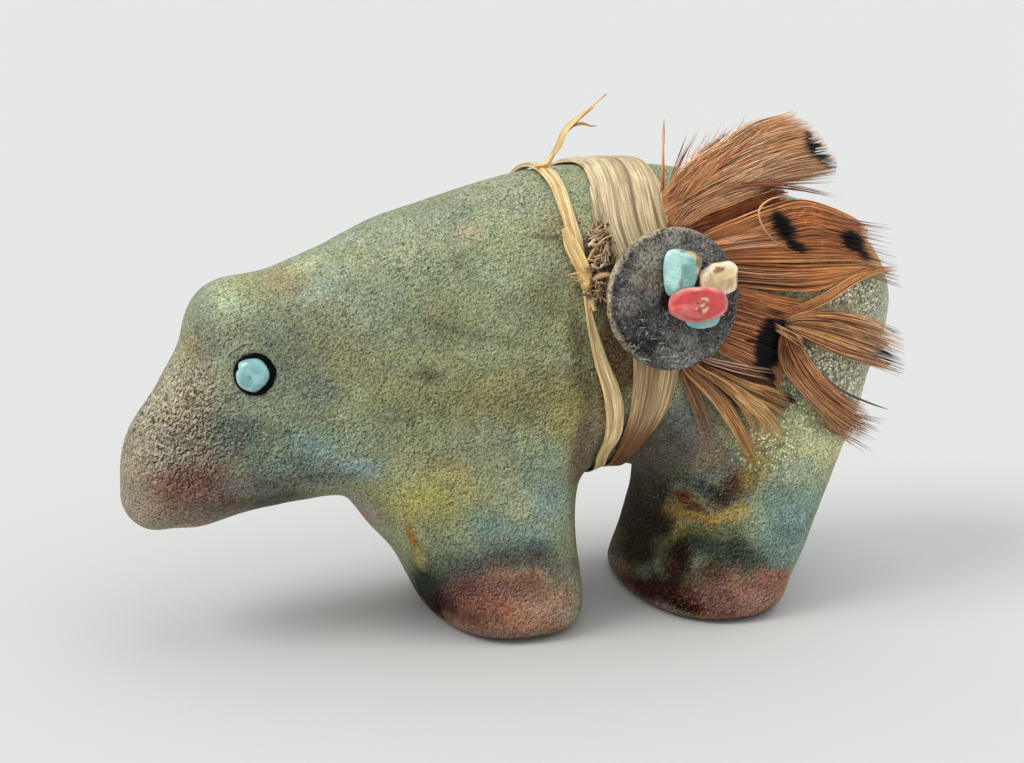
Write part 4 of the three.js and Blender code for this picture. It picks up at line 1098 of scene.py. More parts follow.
BLACK = (18, 16, 16)
SMOKE = (44, 34, 30)
CREST_MARKS = [(817, 150, 17, 8, 50, BLACK, 1.0), (829, 163, 13, 5, 26, (34, 28, 26), 0.95), (808, 135, 6, 4, 70, (40, 32, 30), 0.9), (832, 176, 12, 3, 8, (84, 58, 46), 0.6)]
UPPER_MARKS = [(784, 228, 20, 10.5, 56, BLACK, 1.0), (797, 246, 12, 6, 24, BLACK, 1.0), (853, 241, 14.5, 10, 40, BLACK, 1.0), (864, 255, 8, 4.5, 40, (30, 26, 24), 0.95), (743, 243, 13, 4, 14, (204, 182, 160), 0.5)]
PATCH_MARKS = [(769, 346, 34, 14.5, 103, BLACK, 1.0), (779, 326, 13, 7.5, -14, BLACK, 1.0), (768, 375, 12, 7, 76, BLACK, 1.0), (751, 341, 6, 2.4, 8, BLACK, 0.9)]
TIP_MARKS = [(899, 331, 12, 4, 12, BLACK, 1.0), (892, 359, 16, 6, 34, BLACK, 1.0), (900, 372, 10, 4.5, 18, (30, 22, 20), 1.0)]
QUILL_MARKS = [(810, 345, 9, 5, 40, BLACK, 1.0), (810, 357, 6, 5, 40, BLACK, 1.0)]
# the last drop mark is painted shade, in the dark gap at the root of the drop barbs
DROP_MARKS = [(794, 401, 11, 6, 38, BLACK, 1.0), (788, 421, 6, 6, 60, (30, 22, 20), 1.0), (742, 399, 8, 3, 45, (66, 42, 27), 0.75)]

COPPER = ((226, 162, 106), (232, 163, 102), (234, 168, 108), (240, 194, 148))
COPPER_LIT = ((220, 166, 120), (244, 196, 148), (248, 212, 172), (242, 196, 152))
RICH = ((158, 104, 66), (208, 140, 86), (248, 174, 108), (252, 188, 130))
RICH_LIT = ((206, 148, 104), (232, 172, 120), (238, 180, 128), (228, 174, 128))
BROWN = ((186, 124, 80), (196, 120, 72), (192, 114, 68), (188, 122, 78))
GLOOM = ((92, 56, 38), (100, 60, 40), (102, 62, 42), (98, 64, 46))
GOLD = ((138, 92, 58), (204, 136, 82), (246, 172, 108), (248, 186, 124))

CREST_NET = [[(662, 192), (688, 166), (716, 147), (750, 126), (792, 115)], [(662, 200), (698, 171), (734, 149), (772, 132), (810, 126)],
             [(664, 209), (704, 184), (745, 165), (786, 151), (824, 143)], [(668, 219), (708, 197), (748, 181), (792, 167), (836, 162)],
             [(674, 227), (708, 212), (740, 198), (782, 182), (836, 174)]]
BASE_NET = [[(668, 222), (698, 210), (730, 198), (762, 189), (786, 187)], [(682, 228), (710, 218), (742, 205), (770, 196), (790, 192)],
            [(700, 233), (726, 225), (752, 213), (774, 205), (790, 199)]]
UPPER_NET = [[(704, 233), (736, 219), (766, 207), (798, 199), (830, 207), (858, 220)], [(712, 240), (744, 230), (778, 219), (812, 212), (844, 220), (868, 230)],
             [(720, 246), (752, 240), (786, 236), (820, 232), (850, 237), (872, 244)], [(726, 254), (760, 251), (794, 250), (828, 249), (856, 252), (878, 258)],
             [(731, 262), (765, 262), (800, 262), (834, 261), (862, 262), (884, 267)]]
MIDDLE_NET = [[(732, 262), (765, 264), (800, 265), (835, 264), (866, 265), (892, 268)], [(736, 274), (768, 277), (800, 278), (830, 275), (852, 272), (872, 270)],
              [(738, 287), (766, 289), (790, 291), (812, 291), (826, 288), (840, 281)]]
PATCH_NET = [[(736, 287), (752, 290), (770, 294), (790, 298), (806, 300)], [(737, 302), (752, 306), (770, 311), (788, 316), (802, 319)],
             [(735, 320), (750, 324), (766, 329), (780, 333), (792, 338)], [(730, 338), (746, 344), (762, 351), (776, 358), (786, 366)],
             [(720, 353), (740, 363), (756, 371), (770, 379), (780, 390)]]
WING_NET = [[(784, 319), (808, 312), (836, 311), (868, 317), (904, 330)], [(784, 323), (810, 323), (840, 327), (872, 337), (906, 350)],
            [(784, 325), (810, 331), (840, 341), (872, 352), (907, 364)], [(784, 327), (808, 340), (838, 354), (870, 364), (905, 376)]]
LOCK_NET = [[(788, 327), (797, 338), (808, 356), (824, 378), (845, 397), (866, 406)], [(786, 327), (791, 342), (801, 364), (818, 388), (844, 410), (874, 426)],
            [(785, 327), (785, 346), (793, 370), (811, 394), (836, 418), (866, 437)], [(784, 327), (779, 346), (783, 370), (802, 393), (824, 417), (852, 447)]]
SWEEP_NET = [[(668, 224), (684, 196), (708, 172), (738, 160), (772, 150)], [(674, 228), (696, 206), (722, 190), (756, 180), (790, 170)],
             [(684, 230), (706, 214), (736, 204), (764, 190), (786, 172)]]

feathers = {
    "feather_crest": [
        vane(CREST_NET, COPPER, lift=0.75, marks=CREST_MARKS, plane=(15.0, 11.0), end=(0.88, 0.97), groups=17, seed=400, lanes=190),
        vane(BASE_NET, BROWN, lift=0.45, plane=(15.0, 12.0), rooted=0.12, end=(0.84, 0.98), groups=9, seed=410, lanes=110, vary=0.16),
        barbs(CREST_NET, 330, COPPER, lift=(0.9, 2.0), clumps=34, marks=CREST_MARKS, plane=(15.0, 11.0), end=(0.90, 1.10), stray=2.0, curl=-1.2, points=26),
        barbs(CREST_NET, 96, COPPER_LIT, lift=(1.6, 2.3), clumps=40, marks=CREST_MARKS, plane=(15.0, 11.0), end=(0.6, 1.06), start=(0.0, 0.35), stray=4.0, curl=-2.6, points=22, width=0.062, vary=0.3),
        barbs(CREST_NET, 60, COPPER_LIT, lift=(2.0, 2.7), clumps=46, plane=(15.0, 11.0), end=(0.35, 0.85), start=(0.0, 0.3), stray=9.0, curl=-6.0, points=14, width=0.055, vary=0.3),
        barbs([[(668, 206), (680, 180), (694, 158), (712, 138)], [(690, 196), (716, 168), (744, 146), (776, 122)]], 76, ((186, 128, 86), (210, 150, 102), (156, 108, 76)), lift=(1.4, 2.6), width=0.046, clumps=60,
              plane=(15.0, 12.0), stray=6.0, curl=-7.0, end=(0.70, 1.16)),
        barbs(CREST_NET, 90, GLOOM, lift=(1.0, 1.8), clumps=40, marks=CREST_MARKS, plane=(15.0, 11.0), end=(0.5, 0.9), start=(0.15, 0.4), stray=3.4, points=11, width=0.060),
        barbs(BASE_NET, 120, BROWN, lift=(0.6, 1.3), clumps=12, plane=(15.0, 12.0), rooted=0.12, width=0.05),
        barbs(BASE_NET, 36, GLOOM, lift=(0.9, 1.3), clumps=12, plane=(15.0, 12.0), rooted=0.12, width=0.045),
        barbs(SWEEP_NET, 90, COPPER, lift=(1.5, 2.3), clumps=30, plane=(15.0, 11.6), end=(0.7, 1.05), stray=3.0, curl=-2.5, points=12, width=0.05),
        barbs(SWEEP_NET, 40, COPPER_LIT, lift=(1.9, 2.5), clumps=30, plane=(15.0, 11.6), end=(0.5, 1.0), stray=3.5, curl=-3.0, points=12, width=0.04),
        barbs([[(672, 214), (704, 196), (740, 186), (786, 184), (846, 198)], [(676, 222), (708, 206), (744, 192), (786, 189), (838, 198)]], 14,
              ((150, 96, 64), (176, 112, 74), (160, 104, 72), (92, 60, 44)), lift=(1.6, 2.2), clumps=8, plane=(15.0, 12.0), stray=1.2, end=(0.9, 1.0)),
        barbs([[(672, 210), (706, 190), (744, 182), (786, 181), (850, 176)], [(676, 214), (708, 198), (744, 186), (786, 184), (842, 181)]], 12,
              ((150, 96, 64), (200, 134, 88), (170, 112, 80), (84, 56, 44)), lift=(1.6, 2.2), clumps=8, plane=(15.0, 12.0), stray=1.4, end=(0.86, 1.0)),
        barbs([[(660, 196), (662, 168), (664, 140), (666, 110)], [(664, 196), (664, 168), (663, 142), (663, 116)]], 6,
              ((150, 100, 66), (196, 140, 96), (150, 100, 70)), lift=(0.5, 0.9), width=0.10, clumps=2, plane=(15.0, 12.5), stray=0.6, end=(0.86, 1.0)),
        barbs([[(666, 200), (672, 174), (681, 150), (691, 125)], [(668, 200), (677, 174), (688, 150), (701, 128)]], 9,
              ((130, 86, 58), (150, 96, 64), (120, 80, 58)), lift=(0.5, 1.2), width=0.05, clumps=4, plane=(15.0, 12.0), stray=1.6, end=(0.7, 1.0)),
        barbs([[(667, 200), (684, 170), (704, 152), (727, 136)], [(668, 204), (694, 170), (720, 152), (752, 131)]], 40,
              ((150, 98, 64), (186, 124, 78), (150, 100, 68)), lift=(1.2, 2.4), width=0.05, clumps=12, plane=(15.0, 12.0), stray=2.4, end=(0.8, 1.08), curl=-3.0),
    ],
    "feather_upper": [
        vane(UPPER_NET, RICH, lift=1.0, marks=UPPER_MARKS, rooted=0.12, end=(0.93, 1.0), groups=20, seed=420, lanes=200, vary=0.17),
        barbs(UPPER_NET, 250, RICH, lift=(1.3, 2.0), clumps=40, marks=UPPER_MARKS, end=(0.92, 1.05), stray=0.8, rooted=0.12, points=27, vary=0.24, width=0.05),
        barbs(UPPER_NET, 60, RICH_LIT, lift=(1.6, 2.1), clumps=40, marks=UPPER_MARKS, end=(0.7, 1.03), start=(0.0, 0.4), stray=1.4, rooted=0.12, points=24, width=0.058),
        barbs(UPPER_NET, 90, GLOOM, lift=(1.4, 1.9), clumps=40, marks=UPPER_MARKS, end=(0.6, 1.0), start=(0.2, 0.5), stray=0.8, rooted=0.12, points=11, width=0.058),
        barbs([[(770, 214), (800, 208), (836, 216), (866, 222), (897, 226)], [(780, 232), (812, 228), (842, 234), (870, 238), (896, 244)],
               [(790, 250), (820, 250), (850, 254), (878, 262), (904, 270)]], 30, ((186, 114, 68), (196, 120, 72), (150, 96, 64), (96, 66, 50)),
              lift=(1.8, 2.3), width=0.05, clumps=12, marks=UPPER_MARKS, stray=1.4, plane=(15.4, 12.0), end=(0.84, 1.0), points=22),
        barbs([[(790, 196), (771, 199), (759, 210), (763, 227), (777, 243), (798, 253)]], 3, ((200, 146, 104), (220, 172, 128), (206, 152, 112), (176, 118, 80)),
              lift=(2.4, 2.7), width=0.11, clumps=1, stray=0.35, plane=(15.2, 14.5), end=(0.96, 1.0), arch=0.5, points=16),
        barbs([[(712, 243), (728, 238), (746, 234), (768, 231)], [(716, 246), (734, 243), (756, 240), (780, 238)]], 8, ((200, 142, 100), (214, 156, 114), (170, 112, 76)),
              lift=(2.1, 2.4), width=0.07, clumps=3, stray=0.8, plane=(16.0, 15.0), rooted=0.1),
    ],
    "feather_middle": [
        vane(MIDDLE_NET, GOLD, lift=0.6, rooted=0.12, end=(0.84, 0.96), groups=12, seed=430, lanes=120),
        barbs(MIDDLE_NET, 130, GOLD, lift=(0.9, 1.6), clumps=22, stray=1.0, rooted=0.12, end=(0.86, 1.06), width=0.05),
        barbs(MIDDLE_NET, 50, GLOOM, lift=(1.1, 1.6), clumps=22, stray=0.9, rooted=0.12, end=(0.4, 0.75), width=0.05),
        barbs([[(764, 312), (800, 305), (826, 292), (850, 277), (874, 269), (902, 266)], [(766, 318), (806, 312), (834, 298), (856, 283), (878, 273), (900, 271)]], 60,
              ((170, 114, 70), (208, 146, 90), (222, 166, 106), (190, 134, 88)), lift=(1.0, 1.7), clumps=10, stray=1.2, plane=(16.0, 12.4), end=(0.84, 1.0)),
        barbs([[(736, 268), (770, 272), (806, 270), (842, 268)], [(738, 282), (770, 284), (800, 285), (826, 282)]], 7, ((150, 104, 72), (204, 154, 116), (190, 134, 96)),
              lift=(1.6, 2.0), width=0.045, clumps=9, stray=1.4, rooted=0.1),
        barbs([[(860, 268), (880, 271), (902, 276)], [(856, 274), (878, 280), (905, 290)]], 9, ((160, 110, 76), (140, 96, 68), (110, 78, 60)), lift=(0.9, 1.6), width=0.04, clumps=6, stray=1.2, plane=(12.4, 12.0)),
    ],
    "feather_patch": [
        vane(PATCH_NET, ((142, 90, 58), (170, 108, 66), (188, 122, 74), (188, 124, 80)), lift=0.75, marks=PATCH_MARKS, rooted=0.14, end=(0.93, 1.0), groups=18, seed=440, lanes=180),
        barbs(PATCH_NET, 260, ((142, 92, 58), (172, 110, 66), (192, 124, 74), (190, 124, 80)), lift=(1.0, 1.6), clumps=36, marks=PATCH_MARKS, stray=0.7, rooted=0.14, end=(0.92, 1.03), vary=0.36, width=0.058, points=24),
        barbs(PATCH_NET, 40, ((176, 124, 90), (204, 148, 108), (196, 140, 100), (170, 112, 74)), lift=(1.5, 1.8), clumps=40, marks=PATCH_MARKS, stray=0.9, rooted=0.14, end=(0.7, 0.95), vary=0.2, width=0.042, points=22),
        vane(WING_NET, ((224, 178, 128), (226, 168, 110), (232, 180, 128), (232, 190, 150)), lift=0.55, marks=TIP_MARKS, plane=(16.0, 11.6), end=(0.60, 0.90), groups=13, seed=450, lanes=130, vary=0.2, begin=0.04),
        barbs(WING_NET, 200, ((226, 180, 128), (230, 172, 112), (240, 190, 138), (236, 194, 156)), lift=(0.9, 1.7), clumps=18, marks=TIP_MARKS, stray=1.5, end=(0.72, 1.02), plane=(16.0, 11.4), width=0.066, gather=0.6, points=20),
        barbs(WING_NET, 76, ((90, 56, 38), (116, 74, 50), (130, 86, 60), (110, 76, 58)), lift=(1.1, 1.7), clumps=18, marks=TIP_MARKS, stray=1.2, end=(0.6, 1.0), plane=(16.0, 11.4), width=0.062),
        barbs([[(774, 322), (788, 330), (802, 338), (817, 350)], [(774, 330), (786, 337), (800, 347), (813, 360)]], 9, ((150, 96, 62), (222, 168, 126), (214, 160, 120), (60, 40, 32)),
              lift=(2.0, 2.4), width=0.07, clumps=5, marks=QUILL_MARKS, stray=0.8, gather=0.5, points=16),
    ],
    "feather_lower": [
        vane(LOCK_NET, ((112, 70, 40), (124, 78, 42), (176, 114, 66), (198, 146, 100)), lift=1.15, plane=(16.0, 12.0), end=(0.72, 0.92), groups=14, seed=460, lanes=150),
        barbs(LOCK_NET, 260, ((112, 70, 42), (130, 82, 46), (192, 130, 78), (226, 180, 140)), lift=(1.5, 2.3), clumps=26, stray=1.3, end=(0.80, 1.06), plane=(16.0, 12.0), width=0.064, gather=0.5),
        barbs(LOCK_NET, 60, ((170, 116, 78), (208, 150, 104), (214, 160, 114), (170, 120, 84)), lift=(2.2, 2.6), width=0.045, clumps=20, stray=1.6, plane=(16.0, 12.0), end=(0.7, 1.05), start=(0.2, 0.5)),
        barbs(LOCK_NET, 80, GLOOM, lift=(1.8, 2.3), width=0.045, clumps=20, stray=1.4, plane=(16.0, 12.0), end=(0.6, 1.0), start=(0.0, 0.3)),
        barbs([[(782, 340), (806, 364), (836, 388), (862, 401), (890, 411)], [(784, 338), (810, 364), (840, 388), (864, 400), (890, 410)]], 5, ((140, 92, 60), (120, 78, 54), (60, 44, 38), (30, 26, 24)),
              lift=(2.0, 2.3), width=0.09, clumps=1, stray=0.4, plane=(16.0, 12.0), end=(0.97, 1.0)),
        barbs([[(820, 404), (846, 412), (868, 416), (888, 422)], [(812, 420), (834, 434), (854, 444), (872, 456)]], 22, ((150, 98, 64), (140, 92, 62), (110, 76, 56), (70, 50, 42)),
              lift=(1.6, 2.2), width=0.045, clumps=14, stray=1.6, plane=(13.6, 12.0), end=(0.8, 1.0)),
    ],
    "feather_drop": [
        # two dark vanes under the drop lock: the feather's dark base, kept dark as painted shade in the gaps between
        # its pale barbs
        vane([[(700, 360), (728, 366), (764, 375), (802, 390)], [(692, 366), (718, 380), (752, 396), (794, 414)], [(684, 371), (702, 389), (722, 408), (742, 430)]], ((74, 48, 32), (82, 54, 36), (94, 64, 40), (104, 74, 48)),
             lift=0.4, plane=(16.0, 15.0), rooted=0.16, end=(0.70, 1.0), groups=12, seed=470, lanes=130, steps=34, marks=DROP_MARKS),
        vane([[(712, 366), (734, 376), (754, 386), (772, 397), (786, 408)], [(706, 371), (726, 386), (746, 402), (762, 416), (778, 434)]], ((76, 48, 32), (86, 56, 36), (104, 70, 42), (112, 78, 48)),
             lift=0.6, plane=(16.0, 15.0), rooted=0.16, end=(0.72, 0.95), groups=8, seed=480, lanes=90, steps=34),
        barbs([[(700, 362), (724, 372), (750, 382), (776, 389), (800, 399)], [(697, 367), (720, 382), (744, 396), (766, 408), (788, 422)]], 84,
              ((84, 56, 38), (146, 102, 64), (220, 172, 116), (200, 152, 106)), lift=(0.7, 1.4), clumps=20, marks=DROP_MARKS, rooted=0.16, stray=1.4, end=(0.84, 1.04), plane=(16.0, 15.0), gather=0.7, width=0.075, points=20, vary=0.5),
        barbs([[(712, 370), (736, 385), (756, 399), (774, 415), (788, 438)], [(706, 373), (726, 391), (744, 408), (760, 424), (778, 440)]], 84,
              ((88, 60, 38), (156, 114, 70), (246, 208, 148), (216, 170, 112)), lift=(1.0, 1.7), clumps=18, rooted=0.16, stray=1.4, end=(0.80, 1.04), plane=(16.0, 15.0), gather=0.7, width=0.075, vary=0.5),
        barbs([[(694, 368), (712, 384), (730, 402), (743, 424), (752, 444), (760, 464)], [(684, 371), (702, 390), (718, 408), (731, 428), (741, 446), (752, 466)]], 104,
              ((110, 76, 50), (176, 130, 86), (216, 168, 112), (210, 158, 92)), lift=(0.6, 1.5), clumps=18, rooted=0.16, stray=1.6, end=(0.80, 1.0), plane=(16.0, 15.0), gather=0.7, width=0.075, vary=0.5),
        barbs([[(690, 366), (716, 384), (738, 404), (752, 428), (758, 452)], [(700, 366), (728, 382), (748, 402), (764, 424), (774, 440)]], 36,
              ((160, 110, 74), (210, 158, 104), (220, 168, 104), (190, 134, 66)), lift=(1.3, 1.9), width=0.045, clumps=20, rooted=0.16, stray=1.6, end=(0.7, 1.0), plane=(16.0, 15.0)),
        barbs([[(708, 357), (732, 362), (758, 367), (786, 371)], [(703, 361), (728, 370), (754, 377), (780, 382)]], 9,
              ((196, 140, 116), (226, 178, 154), (212, 160, 134)), lift=(1.7, 2.1), width=0.055, clumps=4, rooted=0.12, stray=0.9, end=(0.85, 1.0), plane=(16.0, 16.0), gather=0.7),
        barbs([[(760, 386), (772, 392), (788, 399)], [(758, 390), (768, 398), (782, 406)]], 10, ((150, 104, 76), (170, 122, 86), (130, 90, 62)), lift=(1.4, 1.9), width=0.05, clumps=4, stray=0.6, plane=(15.6, 15.0)),
        barbs([[(689, 372), (699, 392), (707, 412), (713, 432), (719, 454)], [(680, 378), (688, 398), (695, 416), (701, 434), (707, 448)]], 34,
              ((130, 96, 72), (156, 116, 86), (146, 112, 84)), lift=(0.35, 0.7), width=0.045, clumps=12, rooted=0.14, stray=2.2, end=(0.6, 1.0), plane=(16.0, 15.0)),
    ],
}
plume = Nodes("game_feather")
streak = plume.noise(1.0, 3.0, 0.6, vector=plume.mapping(plume.uv(), (7.0, 620.0, 1.0)))
hue_at = plume.noise(1100, 2.0, 0.5)
base = plume.vmath("MULTIPLY", plume.attr("tone"), plume.span(streak, 0.36, 0.64, 0.62, 1.42, False))
plume.set(
    Base_Color=plume.mix(plume.span(hue_at, 0.4, 0.7, 0.0, 0.22), base, plume.vmath("MULTIPLY", base, (1.25, 1.20, 1.12))),
    Roughness=plume.span(plume.noise(1500, 2.0), 0.3, 0.7, 0.42, 0.58),
    Specular_IOR_Level=0.30,
    Normal=plume.bump(streak, 0.00003, 0.6),
)
for name, parts in feathers.items():
    ob = bind(name + "_barbs", parts, name)
    wear(ob, plume.mat)

# ---------------------------------------------------------------- raffia
def bare_torso(x, angle):
    ry, rz = np.sin(angle), np.cos(angle)
    near, far = np.full(np.broadcast(x, angle).shape, 6.0), np.full(np.broadcast(x, angle).shape, 34.0)
    x = np.broadcast_to(x, near.shape)
    for _ in range(26):
        r = (near + far) / 2
        p = np.stack([x, r * ry, 40.0 + r * rz], -1)
        inside = worked_skin(p) < 0
        near, far = np.where(inside, r, near), np.where(inside, far, r)
    p = np.stack([x, near * ry, 40.0 + near * rz], -1)
    return p, unit(gradient(skin, p))


def band_sheet(z, middle, half, angle, s):
    """Points on the torso under a band, for angles round it (A,) and places across it (S,)."""
    middle_at, half_at = through(z, middle), through(z, half)
    height = 40 + 18 * np.cos(angle)
    for _ in range(5):
        height = bare_torso(middle_at(height), angle)[0][..., 2]
    x = middle_at(height)[:, None] + half_at(height)[:, None] * s[None]
    p, n = bare_torso(x, np.broadcast_to(angle[:, None], x.shape))
    return p, n, half_at(height)


def fibre(along, across, size, seed):
    """Lengthwise grain: drawn-out noise over a strip, coordinates in millimetres."""
    return noise(np.stack([along / 14.0, across / size, np.full_like(along, 0.37 * seed)], -1), 1.0, seed)


def strip_tones(along, across, base, dark, pale, seed):
    g = fibre(along, across, 0.42, seed) + 0.6 * fibre(along, across, 0.17, seed + 1)
    c = np.array(lin(*base))[None, None] * np.exp(0.22 * g)[..., None]
    d = np.clip(fibre(along * 0.6, across, 0.8, seed + 2) * 1.5 - 0.35, 0, 1)[..., None]
    l = np.clip(fibre(along * 0.7, across, 0.6, seed + 3) * 1.5 - 0.4, 0, 1)[..., None]
    c = c + (np.array(lin(*dark)) - c) * d * 0.75
    return c + (np.array(lin(*pale)) - c) * l * 0.6


STRAP_Z = (20.0, 23.5, 29.0, 36.0, 44.0, 49.6, 53.0, 56.6, 59.0)
angle = np.linspace(0, 2 * math.pi, 260, endpoint=False)
cross = np.linspace(-1, 1, 61)
strap_p, strap_n, strap_half = band_sheet(STRAP_Z, (13.3, 13.0, 14.4, 15.2, 15.0, 13.9, 13.2, 13.9, 15.1), (1.2, 1.3, 2.4, 3.15, 3.8, 4.3, 5.0, 4.8, 4.2), angle, cross)
girth = np.concatenate([[0], np.cumsum(np.linalg.norm(np.diff(strap_p[:, 30], axis=0), axis=1))])
along = np.broadcast_to(girth[:, None], strap_p.shape[:2])
across = strap_half[:, None] * cross[None]
# separate blades lie side by side, so the face is a row of shallow gutters and low folds
lanes = np.array([-0.86, -0.72, -0.52, -0.37, -0.16, 0.02, 0.16, 0.41, 0.58, 0.83])
gutter = np.zeros_like(along)
for i, lane in enumerate(lanes):
    at = lane + 0.07 * noise(np.stack([along, np.full_like(along, 3.1 * i), along * 0], -1), 14.0, 150 + i)
    depth = np.clip(0.45 + 0.7 * noise(np.stack([along, np.full_like(along, 5.3 * i), along * 0], -1), 9.0, 190 + i) + 0.25 * math.cos(i * 2.1), 0, 1)
    gutter += np.exp(-(((cross[None] - at) * strap_half[:, None]) / 0.11) ** 2) * depth
loop_seam = np.minimum(along, girth[-1] - along)
relief = 0.07 * fibre(along, across, 0.55, 160) + 0.045 * fibre(along, across, 0.22, 161) - 0.13 * np.clip(gutter, 0, 1)
relief += 0.12 * noise(np.stack([along, across * 0.6, across * 0], -1), 7.0, 163)
edge = np.clip((1 - np.abs(cross))[None] * strap_half[:, None] / 0.35, 0, 1)
edge = np.sqrt(np.clip(edge, 0.02, 1))
blend = ease(0, 6, loop_seam)
relief = relief * blend
slide = (0.10 * noise(np.stack([along, np.sign(across) * 9, along * 0], -1), 3.0, 165) * np.abs(cross)[None] ** 6 * blend)[..., None]
hug = 0.35 + 0.65 * ease(20, 27, strap_p[..., 2])
top = strap_p + strap_n * (0.36 + (0.44 + relief) * edge * hug)[..., None] + slide * np.array([1.0, 0, 0])
bottom = strap_p + strap_n * 0.30 + slide * np.array([1.0, 0, 0])
strap_tone = strip_tones(along, across, (224, 202, 158), (146, 118, 82), (238, 220, 182), 170)
low = (1 - ease(26.0, 31.0, strap_p[..., 2]))[..., None]
strap_tone = strap_tone * (1 - low * (1 - np.array([0.42, 0.28, 0.16])))
low = (1 - ease(36, 50, strap_p[..., 2]))[..., None]
strap_tone = strap_tone * (1 - low * (1 - np.array([0.98, 0.86, 0.80])))
low = (1 - ease(50.5, 55.5, strap_p[..., 2]))[..., None]
strap_tone = strap_tone * (1 - low * (1 - np.array([0.84, 0.84, 0.80])))
# painted shade: the gutters between the blades are darkened
strap_tone = strap_tone * (1 - 0.62 * np.clip(gutter, 0, 1))[..., None]
grime = np.clip(0.5 + 0.9 * cloud(strap_p, 7.0, 176, 3), 0, 1)[..., None]
strap_tone = strap_tone * (1 - 0.24 * grime)
green = np.clip(cloud(strap_p, 9.0, 178, 2) * 1.2, 0, 1)[..., None] * 0.35
strap_tone = strap_tone + (np.array(lin(150, 136, 98)) - strap_tone) * green * ease(38, 48, strap_p[..., 2])[..., None]
uv_strap = np.stack([along / girth[-1], 0.5 + across / 12.0], -1)
# seen through the hole of the disc the band lies in deep shade
rel = strap_p - DISC_AT
shaded = 1 - ease(2.0, 3.0, np.hypot(rel @ DISC_ACROSS, rel @ DISC_UP)) * 1.0
strap_tone = strap_tone * (1 - 0.93 * shaded * (strap_p[..., 1] < 0))[..., None]
strap_parts = shell(top, bottom, True, strap_tone, uv_strap)
strap = piece(make("wide_raffia_band", strap_parts[0], strap_parts[1], tone=np.clip(strap_parts[2], 0.01, 0.9), uv=strap_parts[3]), "wide_raffia_strap")


def raffia_look(name, rough):
    n = Nodes(name)
    flow = n.mapping(n.uv(), (14.0, 44.0, 1.0))
    lines = n.noise(1.0, 3.0, 0.6, vector=flow)
    hair = n.noise(1.0, 2.0, 0.6, vector=n.mapping(n.uv(), (30.0, 105.0, 1.0)))
    light = n.math("MULTIPLY", n.span(lines, 0.34, 0.66, 0.56, 1.34, False), n.span(hair, 0.34, 0.66, 0.70, 1.28, False))
    stain = n.span(n.noise(420, 4.0, 0.65), 0.52, 0.70, 0.0, 0.55)
    base = n.vmath("MULTIPLY", n.attr("tone"), light)
    base = n.mix(stain, base, n.vmath("MULTIPLY", n.attr("tone"), (0.72, 0.66, 0.60)))
    height = n.math("ADD", n.math("MULTIPLY", lines, 0.6), n.math("MULTIPLY", hair, 0.4))
    n.set(Base_Color=base, Roughness=n.span(lines, 0.3, 0.7, rough - 0.08, rough + 0.08), Specular_IOR_Level=0.35, Normal=n.bump(height, 0.00009, 0.8))
    return n.mat


wear(strap, raffia_look("raffia", 0.62))

# the straw-coloured tie: loose blades round the torso, a wrapped knot, frayed ends and a tail
TIE_Z = (20.0, 22.8, 27.0, 31.5, 38.0, 44.5, 47.0, 51.0, 55.0, 59.0)
TIE_MIDDLE = (11.1, 9.95, 10.25, 9.55, 7.4, 6.0, 5.8, 5.3, 5.2, 5.8)
tie_parts = []


def tie_blade(offset, half, rise, seed, base, pale):
    ang = np.linspace(0, 2 * math.pi, 220, endpoint=False)
    c = np.linspace(-1, 1, 9)
    mid = tuple(m + o for m, o in zip(TIE_MIDDLE, offset))
    p, n, h = band_sheet(TIE_Z, mid, half, ang, c)
    length = np.concatenate([[0], np.cumsum(np.linalg.norm(np.diff(p[:, 4], axis=0), axis=1))])
    al = np.broadcast_to(length[:, None], p.shape[:2])
    ac = h[:, None] * c[None]
    seam = ease(0, 6, np.minimum(al, length[-1] - al))
    crown = np.sqrt(np.clip(1 - c**2, 0.0, 1))[None]
    fold = 0.16 * fibre(al, ac, 0.5, seed) * seam + 0.10 * np.sin(al / 5.0 + seed) * seam * c[None]
    lift = rise + 0.10 * noise(np.stack([al, al * 0, al * 0 + seed], -1), 9.0, seed) * seam
    close = 0.45 + 0.55 * ease(20, 26, p[..., 2])
    lift = 0.32 + (lift - 0.32) * close
    t = p + n * (lift + (0.26 + fold) * (0.35 + 0.65 * crown) * close)[..., None]
    b = p + n * (lift - 0.06)[..., None]
    tones = strip_tones(al, ac, base, (158, 124, 78), pale, seed + 5)
    return shell(t, b, True, tones, np.stack([al / length[-1], 0.5 + ac / 12.0 + 0.11 * seed], -1))


tie_parts.append(tie_blade((0.15, 0.1, 0.25, 0.35, 0.25, 0.05, 0, 0.05, 0, 0), (0.80, 0.85, 1.0, 1.05, 0.72, 0.34, 0.40, 0.95, 0.85, 0.95), 0.42, 3, (230, 201, 148), (246, 226, 180)))
tie_parts.append(tie_blade((-0.55, -0.45, -0.75, -0.75, -0.55, -0.22, -0.1, -0.55, -0.35, -0.2), (0.36, 0.36, 0.34, 0.30, 0.24, 0.18, 0.24, 0.42, 0.42, 0.5), 0.60, 4, (220, 184, 124), (240, 214, 162)))


